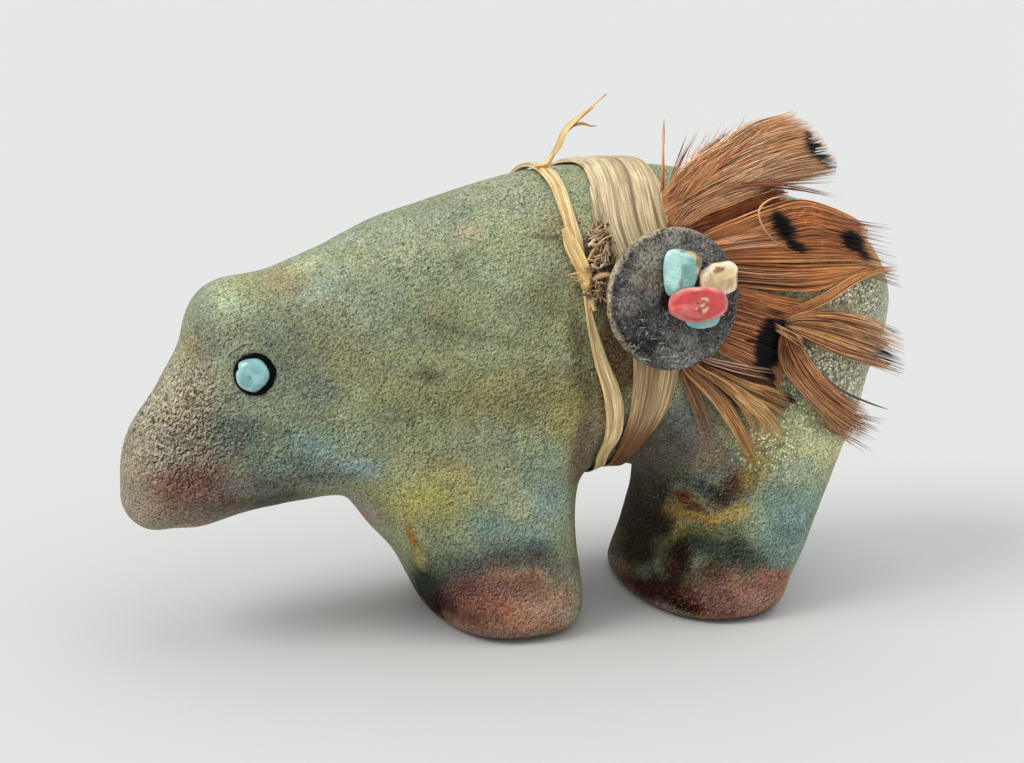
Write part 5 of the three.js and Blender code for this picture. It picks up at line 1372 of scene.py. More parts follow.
def ribbon(path, half, thick, base, dark, pale, seed, out=(0.0, -1.0, 0.1), twist=0.0, steps=26, curl=0.0):
    """A thin leaf of raffia along a path of the working frame, tapered at its ends."""
    t = np.linspace(0, 1, steps)
    p = spline(path, t)
    d = unit(np.gradient(p, axis=0))
    side = unit(np.cross(d, np.broadcast_to(np.array(out), d.shape)))
    up = unit(np.cross(side, d))
    roll = twist * t
    side, up = side * np.cos(roll)[:, None] + up * np.sin(roll)[:, None], up * np.cos(roll)[:, None] - side * np.sin(roll)[:, None]
    c = np.linspace(-1, 1, 7)
    h = np.interp(t, np.linspace(0, 1, len(half)), half)
    al = np.broadcast_to((t * np.linalg.norm(np.diff(p, axis=0), axis=1).sum())[:, None], (steps, 7))
    ac = h[:, None] * c[None]
    crown = np.sqrt(np.clip(1 - c**2, 0, 1))[None]
    leaf = p[:, None] + side[:, None] * ac[..., None] + up[:, None] * (curl * h[:, None] * c[None] ** 2)[..., None]
    body_t = thick * (0.3 + 0.7 * crown) * (1 + 0.5 * fibre(al, ac, 0.3, seed))
    top_s = leaf + up[:, None] * (0.5 * body_t)[..., None]
    low_s = leaf - up[:, None] * (0.5 * body_t)[..., None]
    return shell(top_s, low_s, False, strip_tones(al, ac, base, dark, pale, seed), np.stack([al / 170.0, 0.5 + ac / 12.0 + 0.13 * seed], -1))


STRAW, STRAW_DARK, STRAW_PALE = (224, 190, 128), (150, 108, 62), (242, 218, 168)
# tail standing up from the back, split toward its tip
tie_parts += [
    ribbon([(5.7, -1.1, 58.6), (6.5, -1.6, 60.4), (7.4, -1.9, 61.9), (8.3, -2.1, 63.8), (10.6, -2.5, 65.9), (13.3, -3.0, 68.2)], (0.34, 0.32, 0.42, 0.46, 0.3, 0.05), 0.16, STRAW, STRAW_DARK, STRAW_PALE, 21, twist=1.6, steps=40, curl=0.25),
    ribbon([(7.8, -2.0, 62.8), (8.8, -2.1, 64.2), (10.2, -2.2, 65.2), (11.9, -2.3, 66.5)], (0.2, 0.28, 0.2, 0.03), 0.14, (204, 160, 100), STRAW_DARK, STRAW_PALE, 22, twist=-1.2, steps=26),
    ribbon([(8.0, -2.0, 63.2), (9.2, -1.9, 64.2), (10.6, -1.6, 64.3), (11.8, -1.3, 63.9), (12.8, -1.0, 63.8)], (0.16, 0.26, 0.22, 0.14, 0.03), 0.13, (198, 150, 92), STRAW_DARK, STRAW_PALE, 23, twist=1.0, steps=26),
    ribbon([(4.6, -0.6, 58.9), (5.0, -1.2, 59.3), (5.8, -1.5, 59.6), (6.6, -1.7, 60.6)], (0.3, 0.42, 0.36, 0.15), 0.2, STRAW, STRAW_DARK, STRAW_PALE, 24, out=(0.0, -0.4, 1.0), steps=20),
]
# knot on the flank: the blades pinched together by three wraps
knot_p, knot_n = bare_torso(np.array([5.8]), np.array([-math.atan2(float(skin_half(np.array(5.8), np.array(47.4))), 7.4)]))
knot_p, knot_n = knot_p[0], knot_n[0]
KNOT_UP = unit(np.array([-0.16, 0.0, 1.0]) - (np.array([-0.16, 0.0, 1.0]) @ knot_n) * knot_n)
KNOT_SIDE = np.cross(KNOT_UP, knot_n)


def at_knot(a, u, o):
    return knot_p + KNOT_SIDE * a + KNOT_UP * u + knot_n * o


for i, (lo, hi, rad, turns) in enumerate([(-1.1, -0.2, 0.62, 1.6), (-0.35, 0.75, 0.78, 1.4), (0.5, 1.5, 0.66, 1.5)]):
    th = np.linspace(0, 2 * math.pi * turns, 9 + 6 * int(turns * 2))
    loop = [at_knot(rad * math.cos(a + i * 1.9), lo + (hi - lo) * k / (len(th) - 1) + 0.18 * math.sin(a), 1.02 + 0.62 * math.sin(a + i * 1.9)) for k, a in enumerate(th)]
    t = np.linspace(0, 1, 60)
    c = spline(loop, t)
    mid = at_knot(0, 0, 1.02)
    axis_pt = mid + np.outer((c - mid) @ KNOT_UP, KNOT_UP)
    outd = unit(c - axis_pt)
    s7 = np.linspace(-1, 1, 7)
    hw = 0.46 * np.sqrt(np.clip(np.minimum(t, 1 - t) * 8, 0.05, 1))
    wrap = c[:, None] + KNOT_UP[None, None] * (hw[:, None] * s7[None])[..., None]
    th_c = 0.2 * (0.35 + 0.65 * np.sqrt(np.clip(1 - s7**2, 0, 1)))[None] * (1 + 0.3 * fibre(np.broadcast_to((t * 8)[:, None], (60, 7)), hw[:, None] * s7[None], 0.3, 30 + i))
    al, ac = np.broadcast_to((t * 8)[:, None], (60, 7)), hw[:, None] * s7[None]
    tie_parts.append(shell(wrap + outd[:, None] * (0.5 * th_c)[..., None], wrap - outd[:, None] * (0.5 * th_c)[..., None], False,
                           strip_tones(al, ac, (222, 182, 112), STRAW_DARK, STRAW_PALE, 33 + i), np.stack([al / 170.0, 0.5 + ac / 12.0 + 0.17 * i], -1)))
# the bundle running through the wraps
tie_parts.append(ribbon([at_knot(-0.9, 6.6, 0.62), at_knot(-0.55, 4.2, 0.72), at_knot(-0.1, 2.0, 1.0), at_knot(0.1, 0.0, 1.25), at_knot(0.2, -1.8, 0.95), at_knot(0.5, -4.2, 0.7)], (0.5, 1.0, 0.95, 0.7, 0.42, 0.3), 0.34, STRAW, STRAW_DARK, STRAW_PALE, 41, out=tuple(knot_n), steps=40, curl=-0.35))
tie_parts.append(ribbon([at_knot(-0.2, 5.0, 0.95), at_knot(0.25, 2.6, 1.2), at_knot(0.45, 0.6, 1.45), at_knot(0.25, -1.2, 1.25)], (0.2, 0.42, 0.5, 0.3), 0.24, (230, 196, 130), STRAW_DARK, STRAW_PALE, 42, out=tuple(knot_n), steps=30, curl=-0.3))
# frayed ends standing off to the left
for i, (pts, w) in enumerate([
    ([(-0.3, 1.2, 1.3), (-1.0, 1.7, 1.5), (-1.6, 2.5, 1.6)], 0.26), ([(-0.3, 0.6, 1.4), (-1.2, 0.8, 1.6), (-2.3, 0.9, 1.7)], 0.2),
    ([(-0.3, 0.2, 1.4), (-1.1, -0.1, 1.6), (-1.7, 0.1, 1.9)], 0.18), ([(-0.2, 0.9, 1.5), (-0.9, 1.5, 1.9), (-1.3, 1.7, 2.3)], 0.14),
    ([(-0.3, 0.4, 1.3), (-1.0, 0.3, 1.4), (-1.9, 0.5, 1.3)], 0.12), ([(0.4, 1.6, 1.2), (1.6, 3.0, 1.4), (3.3, 4.2, 1.5), (5.0, 4.4, 1.5)], 0.12),
]):
    tie_parts.append(ribbon([at_knot(*q) for q in pts], (w, w * 0.9, w * 0.6, 0.03), 0.12, (226, 188, 120), STRAW_DARK, STRAW_PALE, 50 + i, out=tuple(knot_n), steps=14))
# two curled fibres from the knot to the disc
tie_parts.append(ribbon([at_knot(0.5, -0.6, 1.3), at_knot(1.5, -0.1, 1.9), at_knot(2.6, -0.2, 2.2), at_knot(3.6, -0.9, 2.0)], (0.12, 0.36, 0.3, 0.1), 0.14, (198, 148, 104), STRAW_DARK, STRAW_PALE, 61, out=tuple(knot_n), steps=22, curl=0.4))
tie_parts.append(ribbon([at_knot(0.5, -1.6, 1.2), at_knot(1.5, -2.8, 1.5), at_knot(2.6, -4.6, 1.6), at_knot(3.8, -6.4, 1.5)], (0.08, 0.12, 0.1, 0.04), 0.12, (196, 160, 108), STRAW_DARK, STRAW_PALE, 62, out=tuple(knot_n), steps=22))
tie_p, tie_f, tie_c, tie_u = [], [], [], []
base = 0
for p, f, c, u in tie_parts:
    tie_p.append(p)
    tie_f.append(f + base)
    tie_c.append(c)
    tie_u.append(u)
    base += len(p)
tie = piece(make("straw_raffia_tie", np.concatenate(tie_p), np.concatenate(tie_f), tone=np.clip(np.concatenate(tie_c), 0.01, 0.95), uv=np.concatenate(tie_u)), "raffia_tie")
wear(tie, raffia_look("straw_raffia", 0.55))

# ---------------------------------------------------------------- down between the tie and the disc
def down(n, spread, length, lift, tones, width, curlness):
    u = np.clip(rng.normal(603, 5.0, n), 592, 616)
    v = rng.uniform(*spread, n)
    turn = rng.uniform(math.radians(95), math.radians(265), n)
    ln = rng.uniform(*length, n)
    t = np.linspace(0, 1, 8)
    bendy = rng.normal(0, curlness, n)
    th = turn[:, None] + bendy[:, None] * t
    step = ln[:, None] / 7
    uv = np.stack([u[:, None] + np.cumsum(np.cos(th) * step, 1) - np.cos(th[:, :1]) * step, v[:, None] - np.cumsum(np.sin(th) * step, 1) + np.sin(th[:, :1]) * step], -1)
    level = rng.uniform(*lift, n)[:, None] + rng.uniform(0.0, 0.7, n)[:, None] * t**1.5
    p = onto_flank(uv, 8.0, level)
    half = width * rng.uniform(0.6, 1.5, n)[:, None] * np.clip((1 - t) * 3, 0.1, 1)
    shades = np.array([lin(*c) for c in tones])
    col = shades[rng.integers(0, len(shades), n)][:, None] * np.exp(rng.normal(0, 0.2, (n, 1, 1))) * (0.7 + 0.5 * t)[None, :, None]
    return hairs(p, half, col)


fluff = bind("brown_down", [
    down(300, (236, 306), (6, 17), (0.35, 1.0), ((112, 90, 68), (84, 66, 50), (142, 116, 89)), 0.07, 1.2),
    down(150, (222, 300), (8, 15), (0.8, 1.8), ((160, 131, 101), (190, 162, 128), (116, 91, 69)), 0.15, 1.0),
    down(30, (230, 286), (9, 16), (1.2, 2.0), ((204, 178, 146), (180, 150, 118)), 0.18, 1.2),
], "down_tuft")
downy = Nodes("down")
downy.set(Base_Color=downy.vmath("MULTIPLY", downy.attr("tone"), downy.span(downy.noise(1500, 2.0), 0.3, 0.7, 0.75, 1.25, False)), Roughness=downy.span(downy.noise(900, 2.0), 0.3, 0.7, 0.68, 0.85), Specular_IOR_Level=0.25)
wear(fluff, downy.mat)

# ---------------------------------------------------------------- stone disc
def on_disc(a, u, o):
    return DISC_AT + np.asarray(a)[..., None] * DISC_ACROSS + np.asarray(u)[..., None] * DISC_UP + np.asarray(o)[..., None] * DISC_OUT


A = 192
theta = np.linspace(0, 2 * math.pi, A, endpoint=False)
ring_r = [1.72, 1.70, 1.80, 2.0, 2.4, 3.0, 3.7, 4.4, 5.1, 5.8, 6.4, 6.95, 7.4, 7.8, 8.13, 8.4, 8.60, 8.73, 8.81, 8.85, 8.85, 8.81, 8.73, 8.6, 8.3, 7.9, 7.1, 6.1, 5.0, 3.8, 2.8, 2.1, 1.84]
ring_h = [-0.35, 0.15, 0.45, 0.62, 0.69, 0.71, 0.71, 0.70, 0.70, 0.70, 0.70, 0.69, 0.68, 0.66, 0.62, 0.56, 0.46, 0.33, 0.17, 0.02, -0.17, -0.34, -0.48, -0.58, -0.65, -0.69, -0.70, -0.70, -0.70, -0.70, -0.70, -0.66, -0.55]
rr, tt = np.meshgrid(ring_r, theta, indexing="ij")
hh = np.broadcast_to(np.array(ring_h)[:, None], rr.shape).copy()
flat3 = np.stack([rr * np.cos(tt), rr * np.sin(tt), hh], -1)
ragged = 0.10 * noise(flat3, 2.6, 200) + 0.07 * noise(flat3, 1.0, 201) + 0.05 * noise(flat3, 0.5, 202)
rim = ease(7.0, 8.75, rr)
bites = np.clip(noise(np.stack([8.85 * np.cos(tt), 8.85 * np.sin(tt), hh * 2], -1), 1.1, 204) - 0.25, 0, 1)
rr2 = rr + rim * (0.06 * noise(np.stack([8.85 * np.cos(tt), 8.85 * np.sin(tt), hh * 0], -1), 3.2, 203) - 0.26 * bites) - (1 - ease(1.9, 2.6, rr)) * 0.10 * noise(flat3, 1.2, 205)
hh2 = hh + np.sign(hh) * np.abs(ragged) * -0.55 * ease(0.2, 0.5, np.abs(hh)) + 0.05 * noise(flat3, 5.0, 206)
disc_v = on_disc(rr2 * np.cos(tt), rr2 * np.sin(tt), hh2)
R = len(ring_r)
idx = np.arange(R * A).reshape(R, A)
disc_q = np.stack([idx, np.roll(idx, -1, 0), np.roll(np.roll(idx, -1, 0), -1, 1), np.roll(idx, -1, 1)], -1).reshape(-1, 4)
dv = disc_v.reshape(-1, 3)
vol = sum(np.einsum("ij,ij->", (dv[t][:, 0] - DISC_AT), np.cross(dv[t][:, 1] - DISC_AT, dv[t][:, 2] - DISC_AT)) for t in (disc_q[:, [0, 1, 2]], disc_q[:, [0, 2, 3]]))
if vol < 0:
    disc_q = disc_q[:, ::-1]
stone = np.array(lin(52, 51, 50))[None, None] * np.exp(0.26 * cloud(flat3, 3.0, 210, 3) + 0.16 * noise(flat3, 0.6, 212))[..., None]
px, py = rr2 * np.cos(tt), rr2 * np.sin(tt)


def stain(a, u, size, glaze, amount, seed):
    global stone
    d = np.hypot(px - a, py - u) / size + 0.35 * noise(flat3, 1.6, seed)
    m = (amount * (1 - ease(0.4, 1.1, d)))[..., None]
    stone = stone + (np.array(lin(*glaze)) - stone) * m


stain(-3.8, 4.8, 3.0, (140, 132, 114), 0.75, 220)
stain(-2.6, 1.6, 1.5, (122, 100, 74), 0.65, 221)
stain(-6.6, 0.2, 2.0, (124, 118, 110), 0.70, 222)
stain(-3.8, -0.6, 1.8, (52, 51, 48), 0.6, 228)
stain(-4.6, -4.7, 3.2, (14, 14, 14), 0.93, 223)
stain(-7.0, -3.7, 2.2, (32, 30, 27), 0.85, 229)
stain(-1.6, -6.4, 1.8, (92, 90, 86), 0.7, 231)
stain(0.2, 7.2, 3.0, (140, 134, 125), 0.72, 227)
stain(1.2, -6.8, 3.0, (108, 106, 102), 0.70, 224)
stain(3.6, 6.0, 2.8, (108, 104, 100), 0.65, 225)
# pale worn rim, made lighter toward the upper left as a painted highlight
rim_wear_and_highlight = (ease(8.2, 8.75, rr) * (0.30 + 0.70 * np.clip(np.cos(tt - math.radians(140)), 0, 1)) * np.clip(0.7 + noise(flat3, 1.5, 226), 0, 1))[..., None]
stone = stone + (np.array(lin(186, 168, 134)) - stone) * rim_wear_and_highlight * 0.75
plate = piece(make("stone_disc_worn", dv, disc_q, tone=np.clip(stone.reshape(-1, 3), 0.005, 0.9)), "stone_disc")
slate = Nodes("dark_stone")
peck = slate.voronoi(2600, "F1")
pepper = slate.noise(2600, 2.0, 0.6)
flake = slate.span(slate.noise(2300, 4.0, 0.75, distort=1.4), 0.58, 0.64, 0.0, 0.7)
soft = slate.noise(700, 4.0, 0.6)
shade = slate.math("MULTIPLY", slate.span(pepper, 0.38, 0.62, 0.24, 1.66, False), slate.span(soft, 0.3, 0.7, 0.72, 1.12, False))
base = slate.vmath("MULTIPLY", slate.attr("tone"), shade)
base = slate.mix(flake, base, slate.vmath("ADD", slate.vmath("MULTIPLY", slate.attr("tone"), (1.8, 1.75, 1.65)), (0.12, 0.116, 0.104)))
# pale hair-thin scratches and chipped specks, in every direction
for scale, keep, thin in ((1350, 330, 0.040), (2500, 520, 0.055)):
    line = slate.span(slate.math("ABSOLUTE", slate.math("SUBTRACT", slate.noise(scale, 2.0, 0.5, distort=1.8), 0.5)), 0.0, thin, 1.0, 0.0)
    line = slate.math("MULTIPLY", line, slate.span(slate.noise(keep, 3.0, 0.6), 0.47, 0.60, 0.0, 0.75))
    base = slate.mix(line, base, slate.vmath("ADD", slate.vmath("MULTIPLY", slate.attr("tone"), (1.6, 1.6, 1.55)), (0.20, 0.196, 0.18)))
# longer pale strokes where a brush or file dragged over the stone
patchy = slate.span(slate.noise(430, 3.0, 0.6), 0.42, 0.60, 0.10, 1.0)
for turn, wide, far in ((25, 5200, 760), (82, 4600, 700), (141, 5600, 820), (-40, 5000, 900)):
    about = slate.mapping(slate.pos, (1.0, 1.0, 1.0))
    about.node.inputs["Rotation"].default_value = (0.0, math.radians(turn), 0.0)
    stroke = slate.noise(1.0, 1.0, 0.4, vector=slate.mapping(about, (wide, 600.0, far)))
    base = slate.mix(slate.math("MULTIPLY", slate.span(stroke, 0.66, 0.715, 0.0, 0.78), patchy), base, (0.44, 0.43, 0.40))
height = slate.math("SUBTRACT", slate.math("ADD", pepper, slate.math("MULTIPLY", soft, 0.5)), slate.math("MULTIPLY", peck, 0.4))
slate.set(Base_Color=base, Roughness=slate.span(soft, 0.3, 0.7, 0.62, 0.84), Specular_IOR_Level=0.25, Normal=slate.bump(height, 0.00016, 1.0))
wear(plate, slate.mat)


# ---------------------------------------------------------------- tumbled chips
def unit_ball(detail):
    bm = bmesh.new()
    bmesh.ops.create_icosphere(bm, subdivisions=detail, radius=1.0)
    v = np.array([q.co[:] for q in bm.verts])
    f = np.array([[q.index for q in t.verts] for t in bm.faces])
    bm.free()
    return v, f


BALL_V, BALL_F = unit_ball(6)


def chip(at, off, radii, turn, square, facets, rough, seed, taper=0.0, lean=(0, 0)):
    """A tumbled chip: a squared-off pebble planed by soft facets, set on the disc."""
    v = BALL_V.copy()
    e = square
    norm = (np.abs(v[:, 0]) ** e + np.abs(v[:, 1]) ** e + np.abs(v[:, 2]) ** 2.4) ** (1 / e)
    v = v / norm[:, None]
    for nx, ny, nz, d in facets:
        n = unit(np.array([nx, ny, nz], float))
        h = v @ n
        over = np.maximum(h - d, 0)
        v = v - np.outer(over * 0.82, n)
    v = v * (1 + rough * noise(v, 0.8, seed) + 0.5 * rough * noise(v, 0.35, seed + 1))[:, None]
    v[:, 0] *= 1 + taper * v[:, 1]
    x, y, z = v[:, 0] * radii[0], v[:, 1] * radii[1], v[:, 2] * radii[2]
    z = z + lean[0] * x + lean[1] * y
    c, s = math.cos(math.radians(turn)), math.sin(math.radians(turn))
    return v, on_disc(at[0] + x * c - y * s, at[1] + x * s + y * c, off + z)


def set_chip(name, node, shape, tones, mat):
    ob = piece(make(name, shape[1], BALL_F, tone=np.clip(tones, 0.004, 0.95)), node)
    wear(ob, mat)
    return ob


def over(col, shade, mask):
    return col + (np.array(lin(*shade)) - col) * np.clip(mask, 0, 1)[:, None]


def gem(name, rough, coat, strength, scale, subsurface=0.0, radius=(1.0, 0.6, 0.4)):
    n = Nodes(name)
    vein = n.span(n.math("ABSOLUTE", n.math("SUBTRACT", n.noise(scale, 4.0, 0.6, distort=0.6), 0.5)), 0.0, 0.022, 1.0, 0.0)
    cloudy = n.noise(scale * 1.6, 3.0, 0.6)
    base = n.vmath("MULTIPLY", n.attr("tone"), n.span(cloudy, 0.3, 0.7, 0.86, 1.14, False))
    base = n.mix(n.math("MULTIPLY", vein, strength), base, n.vmath("MULTIPLY", n.attr("tone"), (0.42, 0.46, 0.46)))
    n.set(Base_Color=base, Roughness=n.span(n.noise(900, 3.0), 0.35, 0.65, rough, rough + 0.10), Coat_Weight=coat, Coat_Roughness=0.06, Specular_IOR_Level=0.5,
          Normal=n.bump(n.noise(1500, 3.0, 0.6), 0.00006, 0.35))
    if subsurface:
        n.set(Subsurface_Weight=subsurface, Subsurface_Radius=radius, Subsurface_Scale=0.0012)
    return n.mat


turq = gem("turquoise", 0.16, 0.6, 0.5, 520)
shape = chip((0.28, 3.2), 2.02, (2.22, 3.0, 0.98), -8, 3.4, [(0.35, 0.2, 1, 0.80), (-0.5, 0.1, 1, 0.86), (0.2, 1, 0.3, 0.86)], 0.035, 300, taper=0.24, lean=(0.05, 0.08))
v = shape[0]
col = np.tile(np.array(lin(124, 188, 180)), (len(v), 1)) * np.exp(0.16 * cloud(v, 0.9, 310, 3))[:, None]
# pale mottling, partly the stone's own and weighted to the left side as a painted highlight
col = over(col, (188, 228, 220), 0.8 * ease(-0.1, 0.5, noise(v, 0.7, 311) - 0.35 * v[:, 0]))
col = over(col, (206, 184, 142), ease(0.50, 0.86, v[:, 0] * 0.9 + v[:, 1] * 0.35 + 0.28 * noise(v, 0.5, 312)))
col = over(col, (120, 92, 62), 0.8 * ease(0.72, 1.0, v[:, 0] + 0.2 * v[:, 1] + 0.3 * noise(v, 0.3, 313)))
col = over(col, (96, 84, 60), 0.7 * ease(0.35, 0.6, noise(v, 0.33, 314)) * ease(-0.2, 0.4, -np.abs(v[:, 0] + 0.1) + 0.3))
set_chip("turquoise_chip_tumbled", "turquoise_chip", shape, col, turq)

shape = chip((3.2, -2.35), 1.60, (2.3, 1.5, 0.62), 0, 2.6, [(0.0, -0.4, 1, 0.8)], 0.03, 320)
v = shape[0]
col = np.tile(np.array(lin(120, 186, 184)), (len(v), 1)) * np.exp(0.15 * cloud(v, 0.9, 321, 3))[:, None]
col = over(col, (170, 190, 170), 0.6 * ease(0.2, 0.6, noise(v, 0.6, 322)))
set_chip("turquoise_chip_lower_tumbled", "turquoise_chip_lower", shape, col, turq)

shape = chip((1.85, -0.62), 3.34, (4.0, 2.15, 1.0), -2, 2.35, [(-0.8, 0.5, 0.5, 0.86), (0.9, 0.4, 0.5, 0.88), (0.1, 0.2, 1, 0.84), (-0.6, -0.9, 0.3, 0.9)], 0.035, 330, lean=(0.0, 0.05))
v = shape[0]
col = np.tile(np.array(lin(198, 54, 54)), (len(v), 1)) * np.exp(0.22 * cloud(v, 0.8, 331, 3))[:, None]
# paler pink mottling, partly the coral's own and weighted to the upper left as a painted highlight
col = over(col, (236, 128, 118), 0.65 * ease(0.2, 0.8, noise(v, 0.7, 332) + 0.25 * v[:, 1] - 0.25 * v[:, 0]))
col = over(col, (244, 176, 164), 0.6 * ease(0.80, 0.98, np.hypot(v[:, 0], v[:, 1]) + 0.08 * noise(v, 0.3, 336)) * (v[:, 2] > -0.2))
col = over(col, (190, 44, 46), 0.6 * ease(0.45, 0.9, np.abs(v[:, 0]) + 0.2 * noise(v, 0.5, 333)))
spot = np.hypot((v[:, 0] - 0.02) / 0.25, (v[:, 1] + 0.05) / 0.56) + 0.40 * noise(v, 0.22, 334)
col = over(col, (228, 186, 146), (1 - ease(0.62, 1.0, spot)) * ease(-0.12, 0.12, noise(v, 0.13, 337)) * (v[:, 2] > 0))
col = over(col, (122, 66, 42), 0.8 * (1 - ease(0.1, 0.45, np.abs(spot - 0.55))) * ease(0.0, 0.4, noise(v, 0.16, 335)) * (v[:, 2] > 0))
set_chip("coral_chip_tumbled", "coral_chip", shape, col, gem("coral", 0.14, 0.7, 0.12, 700, 0.12))

shape = chip((5.45, 2.12), 1.98, (2.65, 2.05, 0.88), 10, 3.0, [(0.4, 0.5, 1, 0.78), (-0.5, 0.3, 1, 0.82), (0.1, -0.6, 1, 0.84), (1, -0.3, 0.4, 0.86), (-0.4, 1, 0.2, 0.84)], 0.045, 340)
v = shape[0]
col = np.tile(np.array(lin(224, 200, 146)), (len(v), 1)) * np.exp(0.12 * cloud(v, 0.8, 341, 3))[:, None]
col = over(col, (246, 234, 206), 0.8 * ease(0.62, 0.9, np.hypot(v[:, 0], v[:, 1]) + 0.12 * noise(v, 0.3, 342)))
col = over(col, (198, 160, 98), 0.6 * ease(0.1, 0.6, noise(v, 0.5, 343)))
crack = np.abs(noise(v, 0.8, 344))
col = over(col, (184, 146, 96), 0.5 * (1 - ease(0.0, 0.12, crack)) * (v[:, 2] > 0))
col = over(col, (120, 62, 40), 0.85 * (1 - ease(0.5, 1.0, np.hypot((v[:, 0] + 0.05) / 0.42, (v[:, 1] - 0.55) / 0.26) + 0.35 * noise(v, 0.2, 345))) * (v[:, 2] > 0))
set_chip("citrine_chip_tumbled", "citrine_chip", shape, col, gem("citrine", 0.07, 1.0, 0.25, 620, 0.35, (1.0, 0.8, 0.45)))

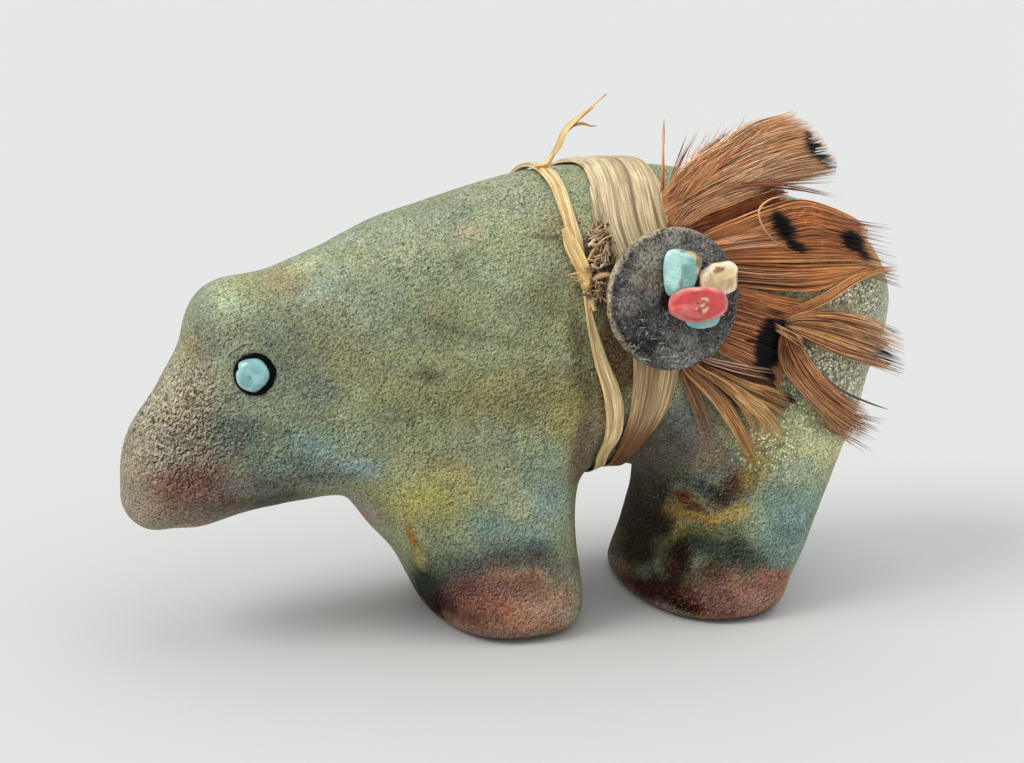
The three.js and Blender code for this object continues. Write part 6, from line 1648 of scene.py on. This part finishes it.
# ---------------------------------------------------------------- eyes
pitch = Nodes("black_pitch")
pitch.set(Base_Color=pitch.mix(pitch.noise(900, 3.0), (0.0016, 0.0016, 0.0016), (0.005, 0.0045, 0.004)), Roughness=pitch.span(pitch.noise(1200, 3.0), 0.3, 0.7, 0.30, 0.50), Specular_IOR_Level=0.03, Normal=pitch.bump(pitch.noise(1600, 3.0), 0.00012, 0.6))
for node, s in SIDES:
    centre, out = EYE_AT * np.array([1, s, 1]), EYE_OUT * np.array([1, s, 1])
    up = unit(np.array([0, 0, 1.0]) - out[2] * out)
    right = np.cross(up, out) * s          # toward the tail on either side
    v = BALL_V.copy()
    norm = (np.hypot(v[:, 0], v[:, 1]) ** 3.2 + np.abs(v[:, 2]) ** 2.2) ** (1 / 3.2)
    v = v / norm[:, None]
    ang = np.arctan2(v[:, 1], v[:, 0])
    r_scale = 1 + 0.025 * np.sin(3 * ang + 0.6) + 0.02 * np.sin(5 * ang + 2.0)
    notch = np.exp(-(((ang - math.radians(158)) / 0.20) ** 2)) * ease(0.55, 0.95, np.hypot(v[:, 0], v[:, 1]))
    r_scale -= 0.13 * notch
    v[:, :2] *= r_scale[:, None]
    v *= (1 + 0.02 * noise(v, 0.6, 350 + int(s)))[:, None]
    col = np.tile(np.array(lin(116, 168, 168)), (len(v), 1)) * np.exp(0.12 * cloud(v, 0.9, 351 + int(s), 3))[:, None]
    col = over(col, (160, 204, 202), 0.7 * ease(0.1, 0.6, noise(v, 0.8, 353 + int(s))))
    col = over(col, (76, 120, 124), 0.75 * (1 - ease(0.0, 0.07, np.abs(noise(v, 0.75, 355 + int(s)) - 0.05))) * (1 - ease(0.3, 0.8, np.hypot(v[:, 0], v[:, 1]))))
    col = over(col, (84, 104, 110), 0.8 * (1 - ease(0.03, 0.16, np.hypot(v[:, 0] + 0.02, v[:, 1] + 0.12) + 0.05 * noise(v, 0.1, 357))) * (v[:, 2] > 0))
    # the bead sits toward the nose, so that the pitch shows widest behind it
    bead_at = centre - right * 0.16 - up * 0.05 - out * 0.02
    bead = bead_at + np.outer(v[:, 0] * 2.12, right) + np.outer(v[:, 1] * 2.12, up) + np.outer(v[:, 2] * 1.22, out)
    faces = BALL_F if s > 0 else BALL_F[:, ::-1]
    # a collar of pitch pressed round the bead: an uneven ring with a rounded lip
    T, C = 96, 14
    th, ph = np.meshgrid(np.linspace(0, 2 * math.pi, T, endpoint=False), np.linspace(0, 2 * math.pi, C, endpoint=False), indexing="ij")
    swell = 1 + 0.10 * np.sin(2 * th + 0.8) + 0.08 * np.sin(5 * th + 1.0) + 0.06 * np.sin(9 * th)
    wide = (0.42 + 0.10 * np.cos(th - 0.35)) * swell
    ring_r0 = 2.20 + 0.04 * np.sin(3 * th)
    rr3 = ring_r0 + wide * np.cos(ph)
    hh3 = -0.02 + 0.42 * np.sin(ph) * (1 + 0.1 * np.sin(4 * th)) + 0.10 * np.cos(th + 2.4)
    collar = (centre + right * 0.04)[None, None] + rr3[..., None] * (np.cos(th)[..., None] * right + np.sin(th)[..., None] * up) + hh3[..., None] * out
    ci = np.arange(T * C).reshape(T, C)
    cq = np.stack([ci, np.roll(ci, -1, 0), np.roll(np.roll(ci, -1, 0), -1, 1), np.roll(ci, -1, 1)], -1).reshape(-1, 4)
    ct = np.concatenate([cq[:, [0, 1, 2]], cq[:, [0, 2, 3]]])
    cv = collar.reshape(-1, 3)
    if np.einsum("ij,ij->", cv[ct][:, 0] - centre, np.cross(cv[ct][:, 1] - centre, cv[ct][:, 2] - centre)) < 0:
        ct = ct[:, ::-1]
    bt = bead[faces]
    if np.einsum("ij,ij->", bt[:, 0] - centre, np.cross(bt[:, 1] - centre, bt[:, 2] - centre)) < 0:
        faces = faces[:, ::-1]
    allv = np.concatenate([bead, cv])
    allf = np.concatenate([faces, ct + len(bead)])
    tones_e = np.concatenate([col, np.tile([0.01, 0.01, 0.01], (len(cv), 1))])
    ob = piece(make(node + "_bead", allv, allf, tone=np.clip(tones_e, 0.004, 0.95)), node)
    wear(ob, gem("eye_turquoise_" + node[4:], 0.12, 0.8, 0.18, 620), pitch.mat)
    which = np.zeros(len(ob.data.polygons), np.int32)
    which[len(faces):] = 1
    ob.data.polygons.foreach_set("material_index", which)

# ---------------------------------------------------------------- floor, light, camera
floor_mesh = bpy.data.meshes.new("floor")
floor_mesh.from_pydata([(-4, -4, 0), (4, -4, 0), (4, 6, 0), (-4, 6, 0)], [], [(0, 1, 2, 3)])
floor = bpy.data.objects.new("floor", floor_mesh)
bpy.context.scene.collection.objects.link(floor)
ground = Nodes("pale_floor")
ground.set(Base_Color=(0.585, 0.59, 0.58), Roughness=0.8, Specular_IOR_Level=0.2)
wear(floor, ground.mat)

world = bpy.data.worlds.new("studio")
bpy.context.scene.world = world
world.use_nodes = True
world.node_tree.nodes["Background"].inputs[0].default_value = (0.96, 0.98, 1.0, 1.0)
world.node_tree.nodes["Background"].inputs[1].default_value = 0.84


def soft_sun(name, toward, strength, spread, colour):
    lamp = bpy.data.lights.new(name, "SUN")
    lamp.energy, lamp.angle, lamp.color = strength, math.radians(spread), colour
    ob = bpy.data.objects.new(name, lamp)
    bpy.context.scene.collection.objects.link(ob)
    ob.rotation_euler = Vector(toward).to_track_quat("Z", "Y").to_euler()


soft_sun("soft_key", (-0.696, -0.123, 0.707), 1.50, 30, (1.0, 0.985, 0.96))
soft_sun("soft_fill", (0.397, -0.145, 0.906), 0.72, 70, (1.0, 0.99, 0.975))

camera = bpy.data.objects.new("camera", bpy.data.cameras.new("camera"))
bpy.context.scene.collection.objects.link(camera)
camera.data.sensor_width = 36.0
camera.data.sensor_fit = "HORIZONTAL"
camera.data.lens = 36.0 * FOCAL / IMAGE[0]
camera.data.clip_start, camera.data.clip_end = 0.01, 50.0
turn = Matrix([[RIGHT[i], UP[i], BACK[i]] for i in range(3)]).to_4x4()
camera.matrix_world = Matrix.Translation(to_m(EYE_POINT).tolist()) @ turn
bpy.context.scene.camera = camera
bpy.context.scene.view_settings.view_transform = "Standard"
